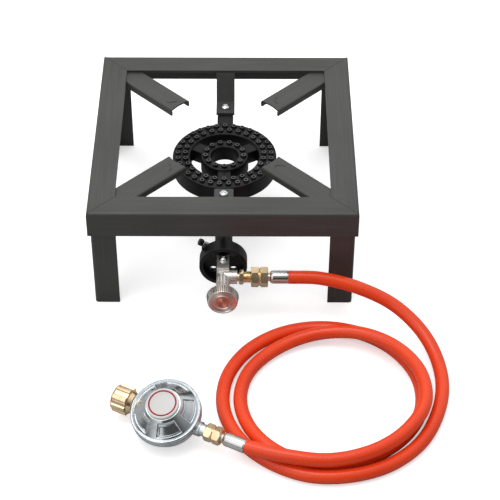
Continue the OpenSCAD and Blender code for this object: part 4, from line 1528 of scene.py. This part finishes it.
@dataclass
class NeedleValve:
    """The valve body with its fork, its packing nut, its knob, and the hose coupling."""

    frame: dict[str, Any]
    knob_h: float = 11.5
    knob_back_r: float = 18.0
    knob_front_r: float = 16.5
    flutes: int = 48
    flute_depth: float = 1.7
    disc_r: float = 8.0
    spindle_r: float = 3.05
    nut_flats: float = 20.0
    inlet_flats: float = 15.0
    thread_r: float = 6.6
    nipple_bore: float = 2.5
    packing_flats: float = 13.0
    cast_voxel: float = 0.32
    cast_passes: int = 5
    axis: Vector = field(init=False)

    def __post_init__(self) -> None:
        """Takes the knob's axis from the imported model."""
        self.axis = Vector((0, low_high("valve_knob")[1].y, valve_axis_z()))

    def build(self) -> None:
        """Makes every visible piece of the valve."""
        body = softened(
            self.frame, "valve_body", "valve_casting", NICKEL, self.cast_voxel, self.cast_passes
        )
        settle(body, Body.STAND, "nickel", "valve_body")
        dress(self.frame, BRASS, "injector", "valve_spindle")
        dress(self.frame, SEAL_RUBBER, "spindle_seal")
        self._clamp_screw()
        self._packing_nut()
        self._knob()
        self._coupling()

    def _clamp_screw(self) -> None:
        """The screw that clamps the fork on the plate's tongue, with its washer."""
        low, high = low_high("fork_clamp_screw")
        place = Matrix.Translation(Vector((0, (low.y + high.y) / 2, low.z)))
        tall = high.z - low.z
        seat = tall - 3.4
        bm = bmesh.new()

        def recess(angle: float, r: float, z: float) -> tuple[float, float]:
            """Sinks a cross into the head.

            Args:
                angle: The point's angle round the axis.
                r: Its radius, in mm.
                z: Its height, in mm.

            Returns:
                Its new radius and height.
            """
            if z < seat + 2.4:
                return r, z
            return r, z - cross_depth(angle - 0.6, r, 2.6, 0.5, 1.3)

        outline = rounded([
            (0, tall, 0), (2.2, tall, 0.8), (3.6, tall - 0.9, 0.8), (3.9, seat + 0.9, 0.3),
            (3.9, seat + 0.8, 0), (5.0, seat + 0.8, 0.3), (5.0, seat, 0.2), (2.0, seat, 0.1),
            (2.0, 0.4, 0.2), (1.6, 0, 0), (0, 0, 0),
        ])
        turned(bm, dense(outline, 0.3), place, 96, recess)
        screw = new_piece("clamp_screw", bm, ZINC_PLATE, CROSS_SHARP)
        settle(screw, Body.STAND, "zinc_steel", "fork_clamp_screw")

    def _packing_nut(self) -> None:
        """The hexagon nut behind the knob."""
        low, high = low_high("packing_nut")
        place = axis_frame(Vector((0, high.y, self.axis.z)), Vector((0, -1, 0)))
        bm = bmesh.new()
        hex_nut(bm, 0, high.y - low.y, self.packing_flats, self.spindle_r, place)
        settle(new_piece("spindle_nut", bm, NICKEL), Body.STAND, "nickel", "packing_nut")

    def _knob(self) -> None:
        """The fluted knob."""
        place = axis_frame(self.axis, Vector((0, -1, 0)))
        h, back, front = self.knob_h, self.knob_back_r, self.knob_front_r
        well = self.disc_r + 0.05
        profile = rounded([
            (self.spindle_r, 0, 0.3), (back - 0.9, 0, 0.5), (back, 0.9, 0.5),
            (front + 0.3, h - 1.6, 0.4), (front - 0.1, h - 0.5, 0.4), (front - 1.0, h, 0.4),
            (front - 2.0, h, 0.3), (front - 2.5, h - 0.8, 0.3), (10.4, h - 0.8, 0.3),
            (10.0, h - 0.1, 0.3), (9.2, h - 0.1, 0.3), (8.7, h - 0.9, 0.2), (well, h - 0.9, 0.1),
            (well, h - 1.5, 0.1), (self.spindle_r, h - 1.5, 0.1),
        ], loop=True)

        def flute(angle: float, r: float, z: float) -> tuple[float, float]:
            """Cuts the flutes into the knob's side; they fade out near its face.

            Args:
                angle: The point's angle round the axis.
                r: Its radius, in mm.
                z: Its height, in mm.

            Returns:
                Its new radius and height.
            """
            side = back + (front - back) * z / h
            if r < side - 1.2 or not 0.2 < z < h - 0.9:
                return r, z
            wave = abs((self.flutes * angle / TAU) % 1.0 * 2 - 1)
            fade = min(1.0, (h - 0.9 - z) / 0.6)
            return r - self.flute_depth * max(0.0, wave - 0.3) / 0.7 * max(0.0, fade), z

        bm = bmesh.new()
        turned(bm, dense(profile, 0.9, loop=True), place, self.flutes * 10, flute, loop=True)
        metal = KNOB_METAL.placed("knob_metal", place)
        settle(new_piece("fluted_knob", bm, metal), Body.KNOB, "knob_metal", "valve_knob")
        self._knob_face(place)

    def _knob_face(self, place: Matrix) -> None:
        """The turned disc in the knob's face and the turned rings round it.

        Args:
            place: The knob's frame.
        """
        h = self.knob_h
        bm = bmesh.new()
        face = [(0.0, h - 0.7), (1.2, h - 0.7)]
        for k in range(1, 7):
            r = 1.2 + k
            face += [(r - 0.5, h - 0.35), (r, h - 0.7)]
        outline = face + [(self.disc_r, h - 0.6), (self.disc_r, h - 1.45), (0.0, h - 1.45)]
        turned(bm, outline, place, 96)
        disc = new_piece("turned_disc", bm, KNOB_DISC.placed("knob_disc", place), RIDGE_SHARP)
        settle(disc, Body.KNOB, "knob_disc", "knob_cap")
        bm = bmesh.new()
        ridges = [(10.5 + 0.3 * k, h - (0.42 if k % 2 else 0.62)) for k in range(11)]
        turned(bm, [(10.5, h - 0.85), *ridges, (13.5, h - 0.85)], place, 96, loop=True)
        rings = new_piece("turned_rings", bm, KNOB_RING.placed("knob_ring", place), RIDGE_SHARP)
        settle(rings, Body.KNOB, "knob_disc")

    def _coupling(self) -> None:
        """The brass nipple and union nut, and the hose's crimped ferrule."""
        bore = self.nipple_bore
        low, high = low_high("inlet_nipple")
        nut = low_high("union_nut_valve")
        ferrule = low_high("hose_ferrule_valve")
        origin = Vector((0, (low.y + high.y) / 2, (low.z + high.z) / 2))
        place = axis_frame(origin, Vector((1, 0, 0)))
        brass = BRASS.placed("brass_inlet", place)
        bm = bmesh.new()
        hex_nut(bm, low.x + 1.6, low.x + 7.2, self.inlet_flats, bore, place)
        collar = [
            (bore, low.x, 0), (5.0, low.x, 0.3), (5.0, low.x + 1.8, 0), (bore, low.x + 1.8, 0)
        ]
        turned(bm, rounded(collar, loop=True), place, 48, loop=True)
        threaded(bm, low.x + 7.0, high.x, self.thread_r, bore, place)
        settle(new_piece("brass_nipple", bm, brass), Body.STAND, "brass", "inlet_nipple")
        union_nut(
            "valve_union_nut", nut[0].x, nut[1].x, self.nut_flats, 1.8, place, brass,
            "union_nut_valve",
        )
        dress(self.frame, NICKEL, "hose_tail_valve")
        crimp("valve_ferrule", ferrule[0].x, ferrule[1].x, place, "hose_ferrule_valve")


def threaded(
    bm: bmesh.types.BMesh, z0: float, z1: float, r: float, bore: float, place: Matrix,
    pitch: float = 1.4, inside: bool = False,
) -> None:
    """Adds a threaded length along the local Z axis.

    Args:
        bm: The mesh to add to, in mm.
        z0: Where it starts.
        z1: Where it ends.
        r: Radius of the crests, or of the roots of an inside thread.
        bore: Radius of the other wall.
        place: The local frame.
        pitch: Distance from crest to crest.
        inside: True for a thread in a hole.
    """
    depth = 0.5 * pitch

    def helix(angle: float, at_r: float, z: float) -> tuple[float, float]:
        """Cuts the thread into the wall of radius r.

        Args:
            angle: The point's angle round the axis.
            at_r: Its radius, in mm.
            z: Its height, in mm.

        Returns:
            Its new radius and height.
        """
        if abs(at_r - r) > 0.01 or not z0 + 0.2 < z < z1 - 0.2:
            return at_r, z
        phase = (z / pitch - angle / TAU) % 1.0
        cut = depth * abs(2 * phase - 1)
        return at_r - cut, z

    steps = max(4, math.ceil((z1 - z0) / (pitch / 6)))
    wall = [(r, z0 + (z1 - z0) * k / steps) for k in range(steps + 1)]
    back = [(bore, z1), (bore, z0)]
    if inside:
        bore, wall, back = r, wall, [(r + bore, z1), (r + bore, z0)]
    turned(bm, wall + back, place, 64, helix, loop=True)


def crimp(name: str, z0: float, z1: float, place: Matrix, node: str) -> None:
    """Makes a crimped ferrule with a tapered mouth, in place of its CAD node.

    Args:
        name: The piece's name.
        z0: Where it starts.
        z1: Where it ends, on the hose.
        place: The local frame.
        node: The CAD node.
    """
    r, bore = FERRULE_R, FERRULE_BORE
    outline = rounded([
        (bore, z0, 0.2), (r - 1.9, z0, 0.5), (r - 0.5, z0 + 1.6, 0.6), (r, z0 + 3.2, 0.6),
        (r, z1 - 1.2, 0.4), (r - 0.25, z1 - 0.4, 0.2), (r - 0.25, z1, 0.2), (bore, z1, 0.2),
    ], loop=True)
    bm = bmesh.new()
    turned(bm, outline, place, 96, loop=True)
    settle(new_piece(name, bm, FERRULE_CHROME), Body.STAND, "ferrule_chrome", node)


# ---- The hose ------------------------------------------------------------------------


@dataclass
class GasHose:
    """The gas hose, which leaves the valve, falls to the floor and lies in loose turns."""

    frame: dict[str, Any]
    diameter: float = 0.015
    length: float = 1.805
    rest_z: float = 0.0075
    points: tuple[tuple[float, float, float], ...] = (
        (0.073, -0.165, 0.056), (0.110, -0.166, 0.055), (0.152, -0.174, 0.048),
        (0.192, -0.189, 0.035), (0.223, -0.219, 0.020), (0.238, -0.262, 0.0095),
        (0.235, -0.310, 0.0075), (0.214, -0.361, 0.0075), (0.180, -0.395, 0.0075),
        (0.138, -0.412, 0.0075), (0.092, -0.413, 0.0075), (0.050, -0.394, 0.0075),
        (0.018, -0.361, 0.0075), (0.002, -0.318, 0.0075), (0.006, -0.272, 0.0075),
        (0.029, -0.232, 0.0075), (0.066, -0.205, 0.0075), (0.111, -0.196, 0.0075),
        (0.156, -0.206, 0.0075), (0.192, -0.234, 0.0075), (0.213, -0.275, 0.0075),
        (0.213, -0.321, 0.0075), (0.191, -0.361, 0.0075), (0.154, -0.389, 0.0075),
        (0.109, -0.398, 0.0075), (0.065, -0.385, 0.0075), (0.033, -0.352, 0.0075),
        (0.020, -0.308, 0.0075), (0.030, -0.264, 0.0075), (0.061, -0.230, 0.009),
        (0.103, -0.213, 0.014), (0.149, -0.217, 0.0205), (0.188, -0.241, 0.024),
        (0.213, -0.279, 0.0245), (0.216, -0.325, 0.0245), (0.194, -0.365, 0.024),
        (0.158, -0.393, 0.0235), (0.113, -0.405, 0.0225), (0.068, -0.401, 0.024),
        (0.026, -0.387, 0.0225),
    )
    steps: int = 12
    sides: int = 32
    ring_step: float = 0.003

    def centre_line(self) -> list[Vector]:
        """The hose's smooth centre line, never lower than its radius above the floor.

        Returns:
            Its points, in metres.
        """
        knots = [Vector(point) for point in self.points]
        knots = [2 * knots[0] - knots[1], *knots, 2 * knots[-1] - knots[-2]]
        line = []
        for a, b, c, d in zip(knots, knots[1:], knots[2:], knots[3:]):
            for k in range(self.steps):
                t = k / self.steps
                point = (
                    2 * b + (c - a) * t + (2 * a - 5 * b + 4 * c - d) * t**2
                    + (3 * b - a - 3 * c + d) * t**3
                ) / 2
                line.append(Vector((point.x, point.y, max(point.z, self.rest_z))))
        return line + [knots[-2]]

    def build(self) -> None:
        line = self.centre_line()
        mesh = bpy.data.meshes.new("gas_hose_tube")
        mesh.from_pydata([tuple(p) for p in line], [(i, i + 1) for i in range(len(line) - 1)], [])
        hose = bpy.data.objects.new("gas_hose_tube", mesh)
        bpy.context.scene.collection.objects.link(hose)
        mesh.materials.append(HOSE_RUBBER.material())
        grow(
            hose, Trees.hose_sweep(),
            Radius=self.diameter / 2, Step=self.ring_step, Sides=self.sides,
        )
        settle(hose, Body.STAND, "hose_rubber", "gas_hose")


# ---- The regulator -------------------------------------------------------------------


@dataclass
class Regulator:
    """The pressure regulator at the hose's end, with its hand nut."""

    frame: dict[str, Any]
    tilt: float = 18.0
    nut_at: float = -51.0
    flange_r: float = 36.35
    rim_r: float = 37.5
    lip_z: float = 4.5
    rim_z: float = 14.0
    cone_r: float = 34.0
    crown_r: float = 18.5
    crown_z: float = 28.0
    skin: float = 3.0
    pockets: int = 5
    pocket_turn: float = 65.0
    pocket_arc: float = 50.0
    pocket_depth: float = 1.5
    pipe_ways: tuple[Triple, ...] = ((-39.0, -34.0, 9.8), (33.0, 39.0, 8.3))
    cap_r: float = 17.5
    cap_h: float = 3.4
    red_ring: tuple[float, float] = (13.4, 15.0)
    nut: tuple[float, float] = (-62.5, -39.5)
    nut_r: float = 15.25
    lobes: int = 8
    lobe_depth: float = 1.8
    relief: tuple[float, float] = (-53.0, -48.5)
    thread_r: float = 10.0
    union: tuple[float, float] = (46.0, 64.0)
    union_flats: float = 17.0
    ferrule: tuple[float, float] = (67.0, 92.0)
    place: Matrix = field(init=False)
    pipe_place: Matrix = field(init=False)

    def __post_init__(self) -> None:
        """Takes the regulator's place and heading from the hand nut's joint."""
        joint = next(j for j in self.frame["joints"] if j["child"] == Body.HAND_NUT.value)
        out = -Vector(joint["axis"])
        origin = Vector(joint["pos_m"]) / MM - self.nut_at * out
        heading = Matrix.Rotation(math.atan2(out.y, out.x), 4, "Z")
        tilt = Matrix.Rotation(math.radians(self.tilt), 4, "X")
        self.place = Matrix.Translation(origin) @ heading @ tilt
        self.pipe_place = self.place @ Matrix.Rotation(math.radians(90), 4, "Y")

    def build(self) -> None:
        """Makes the regulator's visible pieces and dresses the rest."""
        dress(self.frame, CAST_ZINC, "regulator_body")
        dress(self.frame, SEAL_RUBBER, "diaphragm", "inlet_seal", "inlet_valve_pad")
        dress(self.frame, ZINC_PLATE, "diaphragm_plate", "regulator_spring", "lever_pin")
        dress(self.frame, DARK_PLASTIC, "spring_adjuster")
        dress(self.frame, BRASS, "inlet_stem", "regulator_lever")
        dress(self.frame, NICKEL, "hose_tail_regulator")
        self._bonnet()
        self._cap()
        self._coupling()
        self._hand_nut()

    def _cone_z(self, r: float) -> float:
        """Height of the bonnet's outer cone at a radius, in mm."""
        share = (self.cone_r - r) / (self.cone_r - self.crown_r)
        return self.rim_z + (self.crown_z - self.rim_z) * share

    def _bonnet(self) -> None:
        """The pressed cover: a rolled double rim, and a cone with five sunk pockets."""
        rim, rim_z, crown, crown_z = self.rim_r, self.rim_z, self.crown_r, self.crown_z
        outline = rounded([
            (self.flange_r, self.lip_z, 0), (rim, self.lip_z, 0.5), (rim, 8.4, 0.6),
            (rim - 0.8, 9.3, 0.4), (rim, 10.2, 0.6), (rim, rim_z - 0.8, 1.0),
            (rim - 1.1, rim_z + 0.2, 0.5), (rim - 1.8, rim_z - 0.6, 0.4), (self.cone_r, rim_z, 0.6),
            (crown, crown_z, 1.2), (11.0, crown_z, 0), (11.0, crown_z - self.skin, 0),
            (crown - 1, crown_z - self.skin, 1.0), (30.0, rim_z - 1, 0.8), (30.0, 11.0, 0),
            (self.flange_r, 11.0, 0),
        ], loop=True)
        low_r, high_r = self.crown_r + 2.2, self.cone_r - 1.2
        half = math.radians(self.pocket_arc) / 2
        gap = TAU / self.pockets
        first = math.radians(self.pocket_turn) + half

        def pocket(angle: float, r: float, z: float) -> tuple[float, float]:
            """Sinks the pockets into the cone's outer face.

            Args:
                angle: The point's angle round the axis.
                r: Its radius, in mm.
                z: Its height, in mm.

            Returns:
                Its new radius and height.
            """
            if not low_r < r < high_r or z < self._cone_z(r) - 0.4:
                return r, z
            off = abs((angle - first + gap / 2) % gap - gap / 2)
            inside = [(half - off) * r, r - low_r, high_r - r]
            near = sorted(max(0.0, value) for value in inside)
            edge = near[0] * (1 - 0.25 * max(0.0, 1 - near[1] / 2.5))
            share = min(1.0, edge / 1.3)
            lip = 0.35 * math.exp(-((edge - 1.9) / 0.5) ** 2)
            return r, z - self.pocket_depth * share * share * (3 - 2 * share) + lip

        bm = bmesh.new()
        turned(bm, dense(outline, 0.45, loop=True), self.place, 360, pocket, loop=True)
        bonnet = new_piece("pressed_bonnet", bm, BRIGHT_ZINC, CROSS_SHARP)
        cut_pipe_ways(bonnet, self.pipe_place, self.pipe_ways)
        settle(bonnet, Body.STAND, "regulator_zinc", "regulator_bonnet")

    def _cap(self) -> None:
        """The cap over the spring: a bright rim, a red ring and a plain grey disc."""
        base, top = self.crown_z, self.crown_z + self.cap_h
        r, (inside, outside) = self.cap_r, self.red_ring
        rim = [
            (0, base, 0), (r, base, 0.4), (r, top - 0.8, 0.9), (r - 1.4, top, 0.6),
            (15.4, top, 0.4), (15.1, top - 0.7, 0.2), (0, top - 0.7, 0),
        ]
        ring = [
            (inside, top - 0.8, 0.2), (outside, top - 0.8, 0.2), (outside, top - 0.5, 0.2),
            (inside, top - 0.5, 0.2),
        ]
        edge = inside - 0.1
        disc = [
            (0, top - 0.75, 0), (edge, top - 0.75, 0.1), (edge, top - 0.4, 0.2), (0, top - 0.4, 0)
        ]
        pieces = (
            ("cap_rim", rim, CAP_WHITE, ("label_cap",)),
            ("cap_red_ring", ring, LABEL_RED, ()),
            ("cap_disc", disc, LABEL_GREY, ()),
        )
        for name, corners, finish, nodes in pieces:
            loop = corners is ring
            bm = bmesh.new()
            turned(bm, rounded(corners, loop=loop), self.place, 128, loop=loop)
            settle(new_piece(name, bm, finish), Body.STAND, "cap_plastic", *nodes)

    def _coupling(self) -> None:
        """The union nut on the outlet and the ferrule on the hose."""
        place = self.pipe_place
        union_nut(
            "regulator_union_nut", *self.union, self.union_flats, 1.6, place,
            BRASS.placed("brass_regulator", place), "union_nut_regulator",
        )
        crimp("regulator_ferrule", *self.ferrule, place, "hose_ferrule_regulator")

    def _hand_nut(self) -> None:
        """The brass hand nut with broad lobes and a threaded mouth."""
        place, r = self.pipe_place, self.nut_r
        x0, x1 = self.nut
        end, back = self.relief
        outline = rounded([
            (self.thread_r, x0, 0.4), (r - 1.6, x0, 0.5), (r, x0 + 1.6, 0.8), (r, x1 - 5.6, 0.8),
            (r - 3, x1 - 4.6, 0.8), (r - 5, x1, 0.8), (6.05, x1, 0.3), (6.05, back, 0.1),
            (10.6, back, 0.1), (10.6, end, 0.1), (self.thread_r, end, 0.1),
        ], loop=True)

        def lobe(angle: float, at_r: float, z: float) -> tuple[float, float]:
            """Sinks the grooves between the lobes, and cuts the thread in the mouth.

            Args:
                angle: The point's angle round the axis.
                at_r: Its radius, in mm.
                z: Its height, in mm.

            Returns:
                Its new radius and height.
            """
            if at_r > r - 1.9 and z < x1 - 4.9:
                wave = 0.5 + 0.5 * math.cos(self.lobes * angle)
                return at_r - self.lobe_depth * min(1.0, max(0.0, wave - 0.3) / 0.3), z
            if abs(at_r - self.thread_r) < 0.01 and x0 + 0.5 < z < end - 0.3:
                phase = (z / 1.6 - angle / TAU) % 1.0
                return at_r + 0.4 * abs(2 * phase - 1), z
            return at_r, z

        bm = bmesh.new()
        turned(bm, dense(outline, 0.4, loop=True), place, 288, lobe, loop=True)
        nut = new_piece("lobed_hand_nut", bm, BRASS.placed("brass_regulator", place))
        settle(nut, Body.HAND_NUT, "brass", "inlet_hand_nut")


def cut_pipe_ways(piece: bpy.types.Object, place: Matrix, ways: Sequence[Triple]) -> None:
    """Cuts round ways through a piece where pipes pass.

    Args:
        piece: The piece to cut.
        place: The frame whose Z axis the pipes follow, in mm.
        ways: (start, end, radius) of each way.
    """
    bm = bmesh.new()
    for start, end, r in ways:
        turned(bm, [(0, start), (r, start), (r, end), (0, end)], place, 64)
    cutter = new_piece("way_cutter", bm, CAST_ZINC)
    cut = piece.modifiers.new("ways", "BOOLEAN")
    cut.object, cut.operation, cut.solver = cutter, "DIFFERENCE", "EXACT"
    graph = bpy.context.evaluated_depsgraph_get()
    result = bpy.data.meshes.new_from_object(piece.evaluated_get(graph))
    piece.modifiers.clear()
    piece.data = result
    bpy.data.objects.remove(cutter)


# ---- Studio --------------------------------------------------------------------------


@dataclass
class Studio:
    """A pale floor, soft light from large panels, and the camera."""

    eye: Triple = (0.02884, -1.51687, 1.29730)
    right: Triple = (0.999997, 0.001103, 0.002271)
    up: Triple = (-0.002431, 0.664131, 0.747612)
    lens: float = 118.14
    sensor: float = 36.0
    floor_size: float = 12.0
    world_strength: float = 1.0
    bounce: float = 0.45
    paint: float = 0.93
    glow: float = 0.5
    sky: Triple = (0.0, 0.55, 0.835)
    sky_levels: tuple[tuple[float, float], ...] = (
        (0.0, 0.05), (0.46, 0.08), (0.6, 0.36), (0.8, 0.72), (1.0, 1.1)
    )

    def build(self) -> None:
        """Sets up the camera, the floor, the world and the lights."""
        self._camera()
        self._floor()
        self._world()
        self._panel("top_panel", (-0.3, -0.2, 2.2), (0.0, -0.1, 0.0), 1.3, 15.0)
        self._panel("left_panel", (-1.3, -1.6, 1.25), (0.0, -0.2, 0.05), 2.2, 14.0)
        bpy.context.scene.view_settings.view_transform = "Standard"
        bpy.context.scene.view_settings.look = "None"

    def _camera(self) -> None:
        """The camera, level to a fraction of a degree."""
        data = bpy.data.cameras.new("camera")
        data.lens, data.sensor_width = self.lens, self.sensor
        camera = bpy.data.objects.new("camera", data)
        bpy.context.scene.collection.objects.link(camera)
        right = Vector(self.right).normalized()
        back = right.cross(Vector(self.up)).normalized()
        up = back.cross(right)
        turn = Matrix((right, up, back)).transposed().to_4x4()
        camera.matrix_world = Matrix.Translation(Vector(self.eye)) @ turn
        bpy.context.scene.camera = camera

    def _floor(self) -> None:
        """A wide pale floor, which looks whiter than the light that it gives back."""
        bpy.ops.mesh.primitive_plane_add(size=self.floor_size)
        floor = bpy.context.object
        floor.name = "floor"
        paint = bpy.data.materials.new("floor_paint")
        paint.use_nodes = True
        build = NodeTree(paint.node_tree)
        plain = build.add("ShaderNodeBsdfDiffuse", {"Color": (*[self.bounce] * 3, 1.0)})
        shown = build.add("ShaderNodeBsdfDiffuse", {"Color": (*[self.paint] * 3, 1.0)})
        glow = build.add("ShaderNodeEmission", {"Strength": self.glow})
        lit = build.add("ShaderNodeAddShader", {0: shown.outputs[0], 1: glow.outputs[0]})
        seen = build.add("ShaderNodeLightPath").outputs["Is Camera Ray"]
        both = build.add("ShaderNodeMixShader", {0: seen, 1: plain.outputs[0], 2: lit.outputs[0]})
        build.add("ShaderNodeOutputMaterial", {"Surface": both.outputs[0]})
        floor.data.materials.append(paint)
        floor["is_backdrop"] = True

    def _world(self) -> None:
        """A surround, bright above and behind and dark in front, that gives metal contrast."""
        world = bpy.data.worlds.new("studio")
        bpy.context.scene.world = world
        world.use_nodes = True
        build = NodeTree(world.node_tree)
        where = build.add("ShaderNodeTexCoord").outputs["Generated"]
        towards = build.add(
            "ShaderNodeVectorMath", {0: where, 1: self.sky}, operation="DOT_PRODUCT"
        )
        share = build.math("MULTIPLY_ADD", towards.outputs["Value"], 0.5, 0.5)
        ramp = build.add("ShaderNodeValToRGB", {0: share})
        stops = ramp.color_ramp.elements
        for at, _ in self.sky_levels[1:-1]:
            stops.new(at)
        for stop, (at, level) in zip(stops, self.sky_levels):
            stop.position, stop.color = at, (level, level, level, 1.0)
        light = build.add("ShaderNodeBackground", {0: ramp.outputs[0], 1: self.world_strength})
        build.add("ShaderNodeOutputWorld", {"Surface": light.outputs[0]})

    @staticmethod
    def _panel(name: str, at: Triple, to: Triple, size: float, watts: float) -> None:
        """Hangs a square soft light.

        Args:
            name: The light's name.
            at: Where it is, in metres.
            to: The point that it is turned to.
            size: Its side.
            watts: Its power.
        """
        data = bpy.data.lights.new(name, "AREA")
        data.size, data.energy = size, watts
        panel = bpy.data.objects.new(name, data)
        bpy.context.scene.collection.objects.link(panel)
        panel.location = at
        panel.rotation_euler = (Vector(to) - Vector(at)).to_track_quat("-Z", "Y").to_euler()


def main() -> None:
    """Builds the whole scene in order."""
    logging.basicConfig(level=logging.INFO, format="%(name)s: %(message)s")
    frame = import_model()
    cad_box = [list(corner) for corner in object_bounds()]
    Studio().build()
    NeedleValve(frame).build()
    Regulator(frame).build()
    GasHose(frame).build()
    Stand(frame).build()
    Burner(frame).build()
    AirIntake(frame).build()
    visual_box = [list(corner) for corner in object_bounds()]
    for label, box in (("CAD", cad_box), ("visual", visual_box)):
        log.info("%s box: %s", label, [[round(v, 4) for v in corner] for corner in box])


if __name__ == "__main__":
    main()
